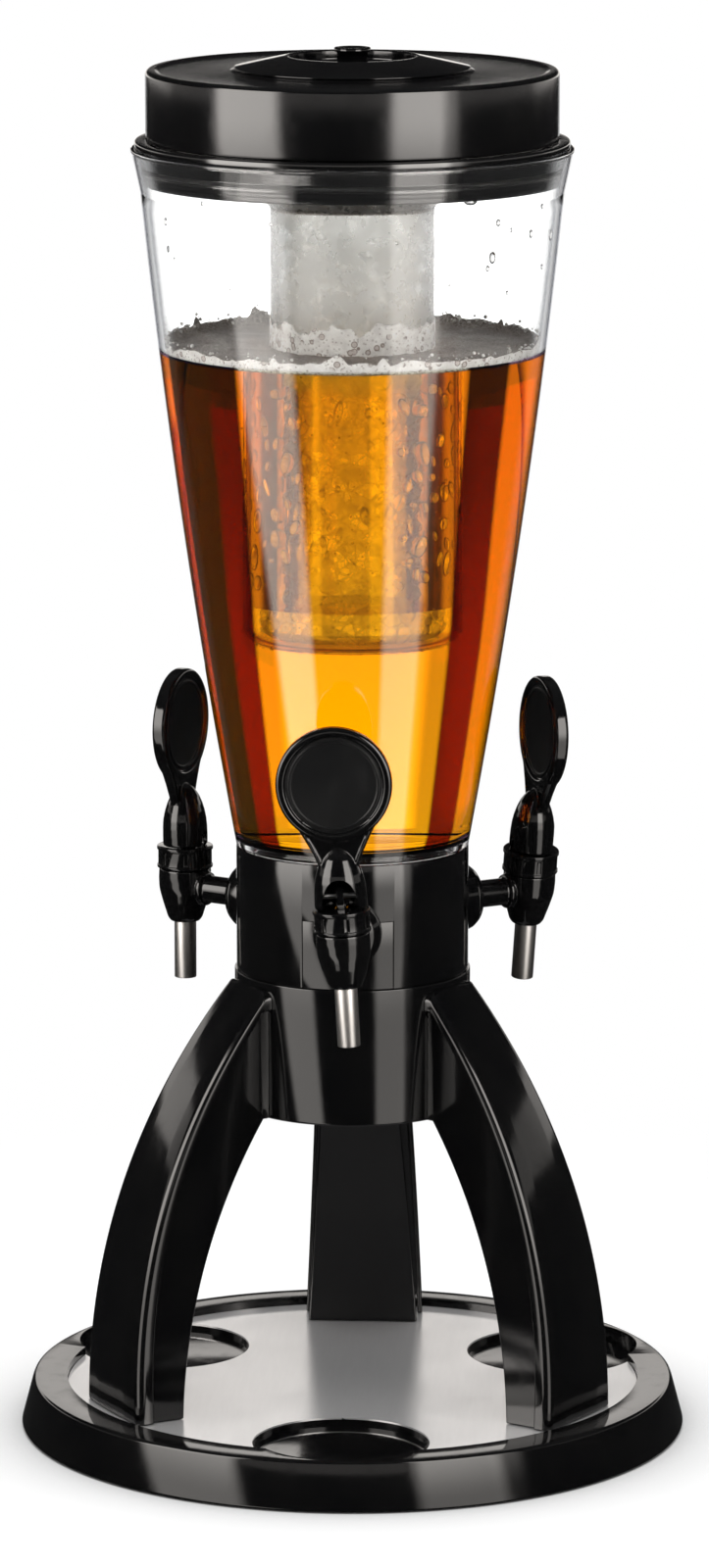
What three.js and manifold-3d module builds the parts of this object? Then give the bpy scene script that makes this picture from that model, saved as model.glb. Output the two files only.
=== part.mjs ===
// Beer tower dispenser: a clear flared container on a black three-legged stand, with three paddle
// taps around its collar, a round serving tray below them and a lidded ice tube down its middle.
// Millimetres, +Z up. The origin is the centre of the footprint and the front tap points to -Y.

import * as THREE from 'three';
import { mergeVertices } from 'three/addons/utils/BufferGeometryUtils.js';
import Module from 'manifold-3d';

const wasm = await Module();
wasm.setup();

// Fits
const clearance = 0.3;
const overrun = 5;
const screwFit = 0.25;

// Turns and facets
const quarterTurn = Math.PI / 2;
const thirdTurn = (2 * Math.PI) / 3;
const degree = Math.PI / 180;
const bigRoundSteps = 24;
const paddleRoundSteps = 20;
const tapRoundSteps = 16;
const screwSteps = 8;

// Stand and collar
const standHeight = 225;
const collarRadius = 55.4;
const collarHeight = 60;
const collarWall = 2.5;
const hubLip = 0.9;
const hubHeight = 65.8;
const hubWall = 3;
const hubDeck = 3;
const hubDrainRadius = 20;
const spigotHeight = 6;
const spigotWall = 2.1;

// Tray
const pocketRadius = 41.5;
const pocketOutset = 14;
const pocketEdge = 2.5;
const pocketDepth = 4.5;
const pocketFloor = 3.2;
const trayHeight = 23.6;
const trayDraft = 6;
const trayWall = 3.4;
const trayGroundGap = 0.8;
const rimWidth = 16.2;
const rimEdge = 0.8;
const plateDrop = 3.6;
const plateThickness = 0.8;
const padRadius = 9;
const padHeight = 4;
const bossWall = 2;

// Legs
const legFootInset = 9.3;
const legFootDepth = 24.9;
const legFootHalfWidth = 29;
const legTopHalfWidth = 19.5;
const legTopDrop = 4.3;
const legOuterBow = 20.2;
const legInnerBow = 10.1;
const legBandDepth = 8.5;
const legBandRound = 4.5;
const legCrown = 1.2;
const legPanelInset = 2;
const legSections = 10;

// Screws
const screwRadius = 2.2;
const screwHeadRadius = 4;
const screwHeadHeight = 2.6;
const screwBite = 12;

// Container
const flareHeight = 312;
const flareTopRadius = 99.5;
const flareSag = 3.15;
const flareSections = 7;
const containerWall = 3;
const neckFloor = 3;
const shoulderHeight = 3.5;
const shoulderRise = 4;
const rimBandHeight = 18.8;
const rimBandSpread = 4;
const rimLip = 0.6;
const rimLipHeight = 1.9;

// Lid
const lidFlangeInset = 1.3;
const lidFlangeThickness = 3.2;
const lidCapInset = 5.2;
const lidCapHeight = 33.1;
const lidWall = 2.5;
const lidEdge = 1.5;
const plugDepth = 16.3;
const plugFit = 0.6;
const sealHeight = 2;
const sealDepth = 1.2;
const sealDrop = 8.7;

// Ice tube and its cap
const iceTubeRadius = 38.5;
const iceTubeWall = 2.5;
const iceTubeLength = 216.7;
const iceTubeCorner = 10;
const iceTubeFlare = 6.5;
const iceTubeFlareHeight = 7;
const iceTubeSpigot = 12;
const iceNeckFit = 0.8;
const iceNeckWall = 2.6;
const iceCapBaseRadius = 55.3;
const iceCapTopRadius = 31.2;
const iceCapRise = 5.8;
const iceCapEdge = 0.5;
const iceCapWall = 2;
const iceCapSkirt = 8;
const iceCapWellRadius = 29.6;
const iceCapWellDepth = 6;
const knobRadius = 8.6;
const knobNeckRadius = 7.2;
const knobHeight = 10;
const knobRim = 2;

// Taps, measured from the shank's axis
const tapHeight = 28;
const tapReach = 40.6;
const barrelRadius = 12.7;
const barrelTop = 9.4;
const barrelBottom = 17;
const barrelTopShares = [0.985, 1, 0.965, 0.85, 0.71, 0.625, 0.545];
const barrelHeightShares = [1, 0.43, -0.12, -0.42, -0.74, -0.94, -1];
const chamberRadius = 8;
const chamberFloor = 9;
const seatBore = 4;
const shankRadius = 6.6;
const shankThreadRadius = 6;
const shankBore = 3.8;
const shankTail = 2;
const flangeRadius = 16.3;
const flangeSaddle = 4.8;
const flangeDome = 5.8;
const flangeGroove = 0.5;
const flangeCrownShares = [0.97, 0.93, 0.79, 0.58];
const flangeRiseShares = [0.1, 0.4, 0.78, 1];
const gasketRadius = 11;
const gasketThickness = 3.2;
const nutAcross = 19;
const nutSides = 6;
const nutThickness = 6;
const insertHalfWidth = 21.5;
const insertHeight = 32.6;

// Bonnet
const bonnetRadius = 13.1;
const bonnetHeight = 10.6;
const bonnetLip = 0.45;
const bonnetLipHeight = 1.6;
const bonnetWall = 1.9;
const bonnetDeck = 3;
const notchCount = 7;
const notchWidth = 2.2;
const notchHeight = 6.8;
const notchDepth = 0.8;

// Lever
const leverTravel = 24 * degree;
const paddleRadius = 27.1;
const paddleThickness = 7.4;
const paddleRound = 2.6;
const paddleRecessRadius = 22.4;
const paddleRecessDepth = 1.3;
const paddleRecessRamp = 1;
const paddleRise = 79.7;
const paddleOffset = 2;
const neckTipHalfWidth = 8.9;
const neckTipDrop = 40;
const neckWaistShares = [0.5, 0.65];
const neckTangent = 37 * degree;
const neckThickness = 5.6;
const neckBevel = 1.4;
const hoodRadius = 12.3;
const hoodHeight = 30;
const hoodDepthShare = 0.87;
const hoodWall = 2;
const hoodRadiusShares = [0.94, 1, 1, 0.88, 0.64, 0.36, 0];
const hoodHeightShares = [0, 0.06, 0.28, 0.56, 0.8, 0.94, 1];
const archHalfWidth = 8.3;
const archHeight = 14.5;
const backSlotHalfWidth = 3;
const backSlotHeight = 7;

// Plunger
const pinRadius = 1.25;
const pinRise = 6;
const stemRadius = 2.2;
const eyeThickness = 3;
const eyeBorder = 1.6;
const seatRadius = 6.6;
const seatHeight = 4.4;

// Spout
const spoutRadius = 5.3;
const spoutWall = 0.7;
const spoutSocket = 6.6;
const spoutDrop = 28;

// How far the collar is turned on the hub, then each tap's place round it, its lean on the shank and
// the turn of its lever, as they were set by hand
const collarTurn = 0.4 * degree;
const tapPlaces = [
  { name: 'front', turn: collarTurn, lean: -3.2 * degree, leverTurn: 0 },
  { name: 'left', turn: collarTurn - thirdTurn, lean: 0, leverTurn: 10 * degree },
  { name: 'right', turn: collarTurn + thirdTurn, lean: -7.6 * degree, leverTurn: -9.5 * degree },
];
const pocketTurns = [0, -thirdTurn, thirdTurn];
const legPlaces = [
  { name: 'left', turn: -thirdTurn / 2 },
  { name: 'right', turn: thirdTurn / 2 },
  { name: 'rear', turn: Math.PI },
];

// Places that follow
const hubRadius = collarRadius + hubLip;
const hubBottom = standHeight - hubHeight;
const collarInner = collarRadius - collarWall;
const spigotRadius = collarInner - clearance;
const neckRadius = spigotRadius - spigotWall - clearance;
const neckInner = neckRadius - containerWall;
const neckBottom = standHeight + clearance;
const containerBase = standHeight + collarHeight;
const flareTop = containerBase + flareHeight;
const rimTop = flareTop + rimBandHeight + rimLipHeight;
const rimRadius = flareTopRadius + rimBandSpread;
const lidSeat = rimTop + clearance;
const lidFlangeRadius = rimRadius - lidFlangeInset;
const lidFlangeTop = lidSeat + lidFlangeThickness;
const lidCapBottom = lidFlangeTop + clearance;
const lidCapRadius = lidFlangeRadius - lidCapInset;
const lidTop = lidFlangeTop + lidCapHeight;
const lidDeckBottom = lidTop - lidWall;
const plugBottom = lidSeat - plugDepth;
const iceNeckInner = iceTubeRadius + iceNeckFit;
const iceNeckOuter = iceNeckInner + iceNeckWall;
const shankHeight = standHeight + tapHeight;
const tapAxisRadius = collarRadius + tapReach;
const pocketPitch = tapAxisRadius + pocketOutset;
const trayTopRadius = pocketPitch + pocketRadius + pocketEdge;
const trayBottomRadius = trayTopRadius + trayDraft;
const wellRadius = trayTopRadius - rimWidth;
const plateTop = trayHeight - plateDrop;
const plateSeat = plateTop - plateThickness;
const pocketBottom = plateTop - pocketDepth;
const deckUnderside = pocketBottom - pocketFloor;
const legBottom = plateTop + clearance;
const legFootRadius = wellRadius - legFootInset;
const legScrewPitch = legFootRadius - legFootDepth / 2;
const hubScrewHeight = standHeight - hubHeight / 2;
const padPitch = wellRadius;
const bonnetBottom = barrelTop + clearance;
const bonnetTop = bonnetBottom + bonnetHeight;
const hoodBottom = bonnetTop + clearance;
const pivotReach = hoodDepthShare * Math.sqrt(hoodRadius ** 2 - archHalfWidth ** 2);
const nutOuter = neckInner - clearance - gasketThickness - clearance;
const nutInner = nutOuter - nutThickness;
const shankEnd = nutInner - shankTail;

// Finishes
const finishes = {
  gloss: new THREE.MeshStandardMaterial({ color: 0x121214, roughness: 0.18, metalness: 0 }),
  satin: new THREE.MeshStandardMaterial({ color: 0x17171a, roughness: 0.38, metalness: 0 }),
  steel: new THREE.MeshStandardMaterial({ color: 0xcfced0, roughness: 0.28, metalness: 1 }),
  screw: new THREE.MeshStandardMaterial({ color: 0xa8a8ac, roughness: 0.35, metalness: 1 }),
  rubber: new THREE.MeshStandardMaterial({ color: 0x1c1c1c, roughness: 0.85, metalness: 0 }),
  clear: new THREE.MeshStandardMaterial({
    color: 0xeef3f5, roughness: 0.06, metalness: 0, transparent: true, opacity: 0.3,
  }),
};

/** A solid that can be joined and cut, from a closed geometry. */
function solidOf(geometry) {
  const bare = geometry.clone();
  for (const name of Object.keys(bare.attributes)) {
    if (name !== 'position') bare.deleteAttribute(name);
  }
  const merged = mergeVertices(bare);
  const vertProperties = new Float32Array(merged.attributes.position.array);
  const triVerts = new Uint32Array(merged.index.array);
  return new wasm.Manifold(new wasm.Mesh({ numProp: 3, vertProperties, triVerts }));
}

/** The geometry of a solid that has been joined or cut. */
function geometryOf(solid) {
  const { vertProperties, triVerts } = solid.getMesh();
  const geometry = new THREE.BufferGeometry();
  geometry.setAttribute('position', new THREE.BufferAttribute(vertProperties, 3));
  geometry.setIndex(new THREE.BufferAttribute(triVerts, 1));
  geometry.computeVertexNormals();
  return geometry;
}

/** A closed geometry less every cutter. */
function cut(geometry, cutters) {
  let solid = solidOf(geometry);
  for (const cutter of cutters) solid = solid.subtract(solidOf(cutter));
  return geometryOf(solid);
}

/** Closed geometries joined into one. */
function join(geometries) {
  let solid = solidOf(geometries[0]);
  for (const geometry of geometries.slice(1)) solid = solid.add(solidOf(geometry));
  return geometryOf(solid);
}

/** What two closed geometries share. */
function common(first, second) {
  return geometryOf(solidOf(first).intersect(solidOf(second)));
}

/** A profile of [radius, height] points turned about Z, listed with the material on its left. */
function turned(profile, steps) {
  const points = profile.map(([radius, height]) => new THREE.Vector2(radius, height));
  return new THREE.LatheGeometry(points, steps).rotateX(quarterTurn);
}

/** The same, with the profile closed back to its first point: a ring, tube or cup wall. */
function turnedRing(profile, steps) {
  return turned([...profile, profile[0]], steps);
}

/** A solid round bar about Z between two heights. */
function bar(radius, bottom, top, steps) {
  return turned([[0, bottom], [radius, bottom], [radius, top], [0, top]], steps);
}

/** A round bar that points along +Y, from one distance to another. */
function barAlong(radius, from, to, steps) {
  return bar(radius, from, to, steps).rotateX(-quarterTurn);
}

/** How far out the middle of a facet lies on a big round of a given radius. */
function facetDepth(radius) {
  return radius * Math.cos(Math.PI / bigRoundSteps);
}

/** A box between two corners. */
function block(low, high) {
  const size = high.map((value, axis) => value - low[axis]);
  const centre = high.map((value, axis) => (value + low[axis]) / 2);
  return new THREE.BoxGeometry(...size).translate(...centre);
}

/** Rings of points, each as long as the last, joined into one closed body with flat ends. */
function loft(rings, endOutline) {
  const count = rings[0].length;
  const positions = rings.flat().flatMap((point) => [point.x, point.y, point.z]);
  const index = [];
  for (let ring = 0; ring < rings.length - 1; ring += 1) {
    for (let step = 0; step < count; step += 1) {
      const next = (step + 1) % count;
      const lower = ring * count;
      const upper = lower + count;
      index.push(lower + step, lower + next, upper + next);
      index.push(lower + step, upper + next, upper + step);
    }
  }
  const last = (rings.length - 1) * count;
  const outlineArea = THREE.ShapeUtils.area(endOutline);
  for (const corners of THREE.ShapeUtils.triangulateShape(endOutline, [])) {
    const area = THREE.ShapeUtils.area(corners.map((corner) => endOutline[corner]));
    const [a, b, c] = area * outlineArea > 0 ? corners : corners.reverse();
    index.push(a, c, b);
    index.push(last + a, last + b, last + c);
  }
  const geometry = new THREE.BufferGeometry();
  geometry.setAttribute('position', new THREE.Float32BufferAttribute(positions, 3));
  geometry.setIndex(index);
  return geometry;
}

/** A curve between two points that bows out to the right of its direction by a given height. */
function bowed(start, end, bow) {
  const along = end.clone().sub(start).normalize();
  const outward = new THREE.Vector2(along.y, -along.x);
  const middle = start.clone().add(end).multiplyScalar(0.5);
  return new THREE.QuadraticBezierCurve(start, middle.addScaledVector(outward, 2 * bow), end);
}

/** A named piece in one of the finishes. */
function piece(name, geometry, finish) {
  const mesh = new THREE.Mesh(geometry, finishes[finish]);
  mesh.name = name;
  return mesh;
}

/** A piece modelled at the front, turned to its place round the tower. */
function onPlace(place, mesh) {
  mesh.rotation.z = place.turn;
  return mesh;
}

/** Copies of a geometry at the given turns about Z. */
function aroundAxis(geometry, turns) {
  return turns.map((turn) => geometry.clone().rotateZ(turn));
}

const tapTurns = tapPlaces.map(({ turn }) => turn);
const legTurns = legPlaces.map(({ turn }) => turn);

/** One vertical screw up through the tray and the plate into a leg, head down. */
function footScrew(place) {
  const profile = [
    [0, deckUnderside - clearance - screwHeadHeight],
    [screwHeadRadius, deckUnderside - clearance - screwHeadHeight],
    [screwHeadRadius, deckUnderside - clearance],
    [screwRadius, deckUnderside - clearance],
    [screwRadius, legBottom + screwBite],
    [0, legBottom + screwBite],
  ];
  const screw = turned(profile, screwSteps).translate(0, -legScrewPitch, 0);
  return onPlace(place, piece(`leg_screw_${place.name}`, screw, 'screw'));
}

/** The hole for a foot screw between two heights, at the front. */
function footScrewHole(bottom, top) {
  return bar(screwRadius + screwFit, bottom, top, screwSteps).translate(0, -legScrewPitch, 0);
}

/** Black tray: a deck with a raised rim, a leaning skirt, three glass pockets and pad bosses. */
function baseTray() {
  const innerBottom = trayBottomRadius - trayWall;
  const innerTop = trayBottomRadius - trayDraft * (deckUnderside / trayHeight) - trayWall;
  const body = turned([
    [0, deckUnderside],
    [innerTop, deckUnderside],
    [innerBottom, trayGroundGap],
    [trayBottomRadius, trayGroundGap],
    [trayTopRadius + rimEdge * (trayDraft / trayHeight), trayHeight - rimEdge],
    [trayTopRadius - rimEdge, trayHeight],
    [wellRadius + rimEdge, trayHeight],
    [wellRadius, trayHeight - rimEdge],
    [wellRadius, plateSeat],
    [0, plateSeat],
  ], bigRoundSteps);
  const boss = bar(padRadius + bossWall, padHeight + clearance, deckUnderside + clearance, tapRoundSteps)
    .translate(0, -padPitch, 0);
  const pocket = bar(pocketRadius, pocketBottom, trayHeight + overrun, bigRoundSteps).translate(0, -pocketPitch, 0);
  const hole = footScrewHole(deckUnderside - overrun, trayHeight + overrun);
  const cutters = [...aroundAxis(pocket, pocketTurns), ...aroundAxis(hole, legTurns)];
  return piece('base_tray', cut(join([body, ...aroundAxis(boss, legTurns)]), cutters), 'gloss');
}

/** Thin round steel plate with three bites for the glass pockets and holes for the leg screws. */
function servingPlate() {
  const disc = bar(wellRadius - clearance, plateSeat, plateTop, bigRoundSteps);
  const bite = bar(pocketRadius, plateSeat - overrun, plateTop + overrun, bigRoundSteps).translate(0, -pocketPitch, 0);
  const hole = footScrewHole(plateSeat - overrun, plateTop + overrun);
  const cutters = [...aroundAxis(bite, pocketTurns), ...aroundAxis(hole, legTurns)];
  return piece('serving_plate', cut(disc, cutters), 'steel');
}

/** Rubber pad under one of the tray's bosses. */
function trayPad(place) {
  const pad = bar(padRadius, 0, padHeight, tapRoundSteps).translate(0, -padPitch, 0);
  return onPlace(place, piece(`tray_pad_${place.name}`, pad, 'rubber'));
}

/** The outer and inner edges of a leg as curves of [radius, height] from foot to hub. */
function legCurves() {
  const outer = bowed(
    new THREE.Vector2(legFootRadius, legBottom), new THREE.Vector2(hubRadius, standHeight - legTopDrop), legOuterBow,
  );
  const inner = bowed(
    new THREE.Vector2(legFootRadius - legFootDepth, legBottom), new THREE.Vector2(hubRadius, hubBottom), legInnerBow,
  );
  return { outer, inner };
}

/** A leg's section as [depth from the inner edge, half width] points: a rounded band and its panels. */
function legSection(depth, halfWidth) {
  const round = legBandRound;
  const panel = halfWidth - legPanelInset;
  const bandStart = depth - legBandDepth;
  const cornerShare = 1 - Math.SQRT1_2;
  const side = [
    [0, -panel],
    [bandStart, -panel],
    [bandStart, -halfWidth],
    [depth - round, -halfWidth],
    [depth - round * cornerShare, -halfWidth + round * cornerShare],
    [depth, -halfWidth + round],
    [depth + legCrown, -halfWidth / 3],
  ];
  const otherSide = side.map(([u, v]) => [u, -v]).reverse();
  return [...side, ...otherSide];
}

/** One arched leg, cut to sit on the hub's wall, with its screw holes. */
function leg(place) {
  const { outer, inner } = legCurves();
  const rings = [];
  for (let step = 0; step <= legSections + 1; step += 1) {
    const share = Math.min(step / legSections, 1);
    const near = inner.getPoint(share);
    const far = outer.getPoint(share);
    if (step > legSections) {
      near.x -= overrun;
      far.x -= overrun;
    }
    const along = far.clone().sub(near);
    const depth = along.length();
    along.normalize();
    const halfWidth = legFootHalfWidth + (legTopHalfWidth - legFootHalfWidth) * share;
    rings.push(legSection(depth, halfWidth).map(([u, v]) => new THREE.Vector3(
      v, -(near.x + along.x * u), near.y + along.y * u,
    )));
  }
  const endOutline = legSection(legFootDepth, legFootHalfWidth).map(([u, v]) => new THREE.Vector2(u, v));
  const socket = bar(hubRadius + clearance, hubBottom - overrun, containerBase, bigRoundSteps);
  const footHole = footScrewHole(legBottom - overrun, legBottom + screwBite + clearance);
  const hubHole = hubScrewHole(-hubRadius - screwBite - clearance, -hubRadius + overrun);
  const body = cut(loft(rings, endOutline), [socket, footHole, hubHole]);
  return onPlace(place, piece(`leg_${place.name}`, body, 'gloss'));
}

/** The hole for a hub screw between two distances, at the front. */
function hubScrewHole(from, to) {
  return barAlong(screwRadius + screwFit, from, to, screwSteps).translate(0, 0, hubScrewHeight);
}

/** One screw from inside the hub out into a leg. */
function hubScrew(place) {
  const headFace = facetDepth(hubRadius - hubWall) - clearance;
  const profile = [
    [0, -hubRadius - screwBite],
    [screwRadius, -hubRadius - screwBite],
    [screwRadius, -headFace],
    [screwHeadRadius, -headFace],
    [screwHeadRadius, -headFace + screwHeadHeight],
    [0, -headFace + screwHeadHeight],
  ];
  const screw = turned(profile, screwSteps).rotateX(-quarterTurn).translate(0, 0, hubScrewHeight);
  return onPlace(place, piece(`hub_screw_${place.name}`, screw, 'screw'));
}

/** Hub: an open-bottomed cup with a deck and a spigot that carries the collar. */
function hub() {
  const shell = turnedRing([
    [hubRadius - hubWall, hubBottom],
    [hubRadius, hubBottom],
    [hubRadius, standHeight],
    [spigotRadius, standHeight],
    [spigotRadius, standHeight + spigotHeight],
    [spigotRadius - spigotWall, standHeight + spigotHeight],
    [spigotRadius - spigotWall, standHeight],
    [hubDrainRadius, standHeight],
    [hubDrainRadius, standHeight - hubDeck],
    [hubRadius - hubWall, standHeight - hubDeck],
  ], bigRoundSteps);
  const hole = hubScrewHole(-hubRadius - overrun, -hubRadius + hubWall + overrun);
  return piece('hub', cut(shell, aroundAxis(hole, legTurns)), 'gloss');
}

/** The hole that a tap shank needs through the collar, its insert and the container's neck. */
function shankHole() {
  return barAlong(
    shankThreadRadius + clearance, -collarRadius - overrun, -neckInner + overrun, tapRoundSteps,
  ).translate(0, 0, shankHeight);
}

/** The collar's slot below a shank, or the insert that fills it when the fit is taken off. */
function slotBlock(fit, bottom) {
  const halfWidth = insertHalfWidth + fit;
  return block(
    [-halfWidth, -collarRadius - overrun, bottom],
    [halfWidth, -collarInner / 2, standHeight + insertHeight + fit],
  );
}

/** The collar's plain ring, before it is slotted. */
function collarRing(top, bottom) {
  return turnedRing([
    [collarInner, bottom], [collarRadius, bottom], [collarRadius, top], [collarInner, top],
  ], bigRoundSteps);
}

/** Collar: a ring with a slot under each tap, so that it drops over the fitted shanks. */
function collar() {
  const ring = collarRing(containerBase - clearance, standHeight + clearance);
  const slots = aroundAxis(slotBlock(clearance, standHeight - overrun), tapTurns);
  return piece('collar', cut(ring, [...slots, ...aroundAxis(shankHole(), tapTurns)]), 'satin');
}

/** The curved insert that closes a collar slot under its tap. */
function collarInsert(place) {
  const ring = collarRing(containerBase, standHeight + clearance);
  const patch = common(ring, slotBlock(0, standHeight + clearance));
  return onPlace(place, piece(`collar_insert_${place.name}`, cut(patch, [shankHole()]), 'satin'));
}

/** The container's flared wall as a curve of [radius, height], outside. */
function flareCurve() {
  return bowed(
    new THREE.Vector2(collarRadius, containerBase), new THREE.Vector2(flareTopRadius, flareTop), flareSag,
  );
}

/** Points along the flare, set in by a wall. */
function flarePoints(inset, from) {
  const curve = flareCurve();
  const points = [];
  for (let step = from; step <= flareSections; step += 1) {
    const { x, y } = curve.getPoint(step / flareSections);
    points.push([x - inset, y]);
  }
  return points;
}

/** Clear container: a flared vessel whose neck goes down inside the collar to the tap chamber. */
function container() {
  const shoulder = containerBase + shoulderRise + shoulderHeight;
  const inside = flarePoints(containerWall, 1).reverse();
  const profile = [
    [neckRadius, neckBottom],
    [neckRadius, containerBase],
    ...flarePoints(0, 0),
    [rimRadius, rimTop - rimLipHeight],
    [rimRadius + rimLip, rimTop - rimLipHeight / 2],
    [rimRadius, rimTop],
    [rimRadius - containerWall, rimTop],
    ...inside,
    [collarRadius - containerWall + clearance, shoulder],
    [neckInner, containerBase + shoulderRise],
    [neckInner, neckBottom],
  ];
  const vessel = turnedRing(profile, bigRoundSteps);
  return piece('container', cut(vessel, aroundAxis(shankHole(), tapTurns)), 'clear');
}

/** Clear disc that closes the container's neck and lies on the hub's deck. */
function containerFloor() {
  const disc = bar(neckInner - clearance, neckBottom, neckBottom + neckFloor, bigRoundSteps);
  return piece('container_floor', disc, 'clear');
}

/** The container's inside radius in the rim band, at a depth below the rim. */
function rimInner(depth) {
  const bandShare = (depth - rimLipHeight) / rimBandHeight;
  return rimRadius - containerWall - rimBandSpread * Math.max(bandShare, 0);
}

/** Lower half of the lid: a flange on the rim, a plug with a seal groove and the ice tube's neck. */
function lidPlug() {
  const plugTopRadius = rimInner(0) - plugFit;
  const plugBottomRadius = rimInner(plugDepth) - plugFit;
  const grooveRadius = rimInner(sealDrop) - plugFit - sealDepth;
  const sealTop = lidSeat - sealDrop + sealHeight / 2 + clearance;
  const sealBottom = lidSeat - sealDrop - sealHeight / 2 - clearance;
  const draft = (plugTopRadius - plugBottomRadius) / plugDepth;
  const radiusAt = (height) => plugBottomRadius + draft * (height - plugBottom);
  const profile = [
    [iceNeckInner, plugBottom],
    [plugBottomRadius, plugBottom],
    [radiusAt(sealBottom), sealBottom],
    [grooveRadius, sealBottom],
    [grooveRadius, sealTop],
    [radiusAt(sealTop), sealTop],
    [plugTopRadius, lidSeat],
    [lidFlangeRadius, lidSeat],
    [lidFlangeRadius, lidFlangeTop],
    [grooveRadius - lidWall, lidFlangeTop],
    [grooveRadius - lidWall, plugBottom + lidWall],
    [iceNeckOuter, plugBottom + lidWall],
    [iceNeckOuter, lidDeckBottom - clearance],
    [iceNeckInner, lidDeckBottom - clearance],
  ];
  return piece('lid_plug', turnedRing(profile, bigRoundSteps), 'satin');
}

/** Upper half of the lid: a shallow drum with a hole for the ice cap. */
function lidCap() {
  const profile = [
    [lidCapRadius - lidWall, lidCapBottom],
    [lidCapRadius, lidCapBottom],
    [lidCapRadius, lidTop - lidEdge],
    [lidCapRadius - lidEdge * (1 - Math.SQRT1_2), lidTop - lidEdge * (1 - Math.SQRT1_2)],
    [lidCapRadius - lidEdge, lidTop],
    [iceNeckInner, lidTop],
    [iceNeckInner, lidDeckBottom],
    [lidCapRadius - lidWall, lidDeckBottom],
  ];
  return piece('lid_cap', turnedRing(profile, bigRoundSteps), 'satin');
}

/** Rubber ring in the plug's groove. */
function lidSeal() {
  const middle = lidSeat - sealDrop;
  const outer = rimInner(sealDrop) - clearance;
  const inner = rimInner(sealDrop) - plugFit - sealDepth + clearance;
  const profile = [
    [inner, middle - sealHeight / 2],
    [outer - sealDepth / 2, middle - sealHeight / 2],
    [outer, middle],
    [outer - sealDepth / 2, middle + sealHeight / 2],
    [inner, middle + sealHeight / 2],
  ];
  return piece('lid_seal', turnedRing(profile, bigRoundSteps), 'rubber');
}

/** Cap over the ice tube: a low cone with a finger well and a pull knob in it. */
function iceCap() {
  const seat = lidTop + clearance;
  const top = seat + iceCapRise;
  const wellFloor = top - iceCapWellDepth;
  const skirtRadius = iceNeckInner - clearance;
  const knobTop = wellFloor + knobHeight;
  const slope = (iceCapBaseRadius - iceCapTopRadius) / iceCapRise;
  const profile = [
    [0, wellFloor - iceCapWall],
    [skirtRadius - iceCapWall, wellFloor - iceCapWall],
    [skirtRadius - iceCapWall, seat - iceCapSkirt],
    [skirtRadius - sealDepth, seat - iceCapSkirt],
    [skirtRadius - sealDepth, seat - iceCapSkirt + sealHeight + 2 * clearance],
    [skirtRadius, seat - iceCapSkirt + sealHeight + 2 * clearance],
    [skirtRadius, seat],
    [iceCapBaseRadius, seat],
    [iceCapBaseRadius, seat + iceCapEdge],
    [iceCapTopRadius + slope * iceCapEdge, top - iceCapEdge],
    [iceCapTopRadius, top],
    [iceCapWellRadius, top],
    [iceCapWellRadius, wellFloor],
    [knobNeckRadius, wellFloor],
    [knobNeckRadius, knobTop - knobRim],
    [knobRadius, knobTop - knobRim + iceCapEdge],
    [knobRadius, knobTop - iceCapEdge],
    [knobRadius - iceCapEdge, knobTop],
    [0, knobTop],
  ];
  return piece('ice_cap', turned(profile, bigRoundSteps), 'satin');
}

/** Rubber ring in the ice cap's skirt. */
function iceCapSeal() {
  const seat = lidTop + clearance;
  const skirtRadius = iceNeckInner - clearance;
  const bottom = seat - iceCapSkirt + clearance;
  const profile = [
    [skirtRadius - sealDepth + clearance, bottom],
    [skirtRadius, bottom],
    [skirtRadius, bottom + sealHeight],
    [skirtRadius - sealDepth + clearance, bottom + sealHeight],
  ];
  return piece('ice_cap_seal', turnedRing(profile, bigRoundSteps), 'rubber');
}

/** Clear ice tube: a round-bottomed cup whose flare stops under the lid and whose top plugs into it. */
function iceTube() {
  const bottom = plugBottom - iceTubeLength;
  const flareTopHeight = plugBottom - sealHeight - clearance;
  const corner = iceTubeCorner * (1 - Math.SQRT1_2);
  const innerCorner = iceTubeCorner - iceTubeWall;
  const innerSet = innerCorner * (1 - Math.SQRT1_2);
  const inner = iceTubeRadius - iceTubeWall;
  const top = plugBottom + iceTubeSpigot;
  const profile = [
    [0, bottom],
    [iceTubeRadius - iceTubeCorner, bottom],
    [iceTubeRadius - corner, bottom + corner],
    [iceTubeRadius, bottom + iceTubeCorner],
    [iceTubeRadius, flareTopHeight - iceTubeFlareHeight],
    [iceTubeRadius + iceTubeFlare, flareTopHeight - iceCapEdge],
    [iceTubeRadius + iceTubeFlare, flareTopHeight],
    [iceTubeRadius, flareTopHeight],
    [iceTubeRadius, top],
    [inner, top],
    [inner, bottom + iceTubeCorner],
    [inner - innerSet, bottom + iceTubeWall + innerSet],
    [inner - innerCorner, bottom + iceTubeWall],
    [0, bottom + iceTubeWall],
  ];
  return piece('ice_tube', turned(profile, bigRoundSteps), 'clear');
}

/** Rubber ring between the ice tube's flare and the lid. */
function iceTubeSeal() {
  const top = plugBottom - clearance;
  const bottom = plugBottom - sealHeight;
  const profile = [
    [iceTubeRadius + clearance, bottom],
    [iceTubeRadius + iceTubeFlare - clearance, bottom],
    [iceTubeRadius + iceTubeFlare - clearance, top],
    [iceTubeRadius + clearance, top],
  ];
  return piece('ice_tube_seal', turnedRing(profile, bigRoundSteps), 'rubber');
}

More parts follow.
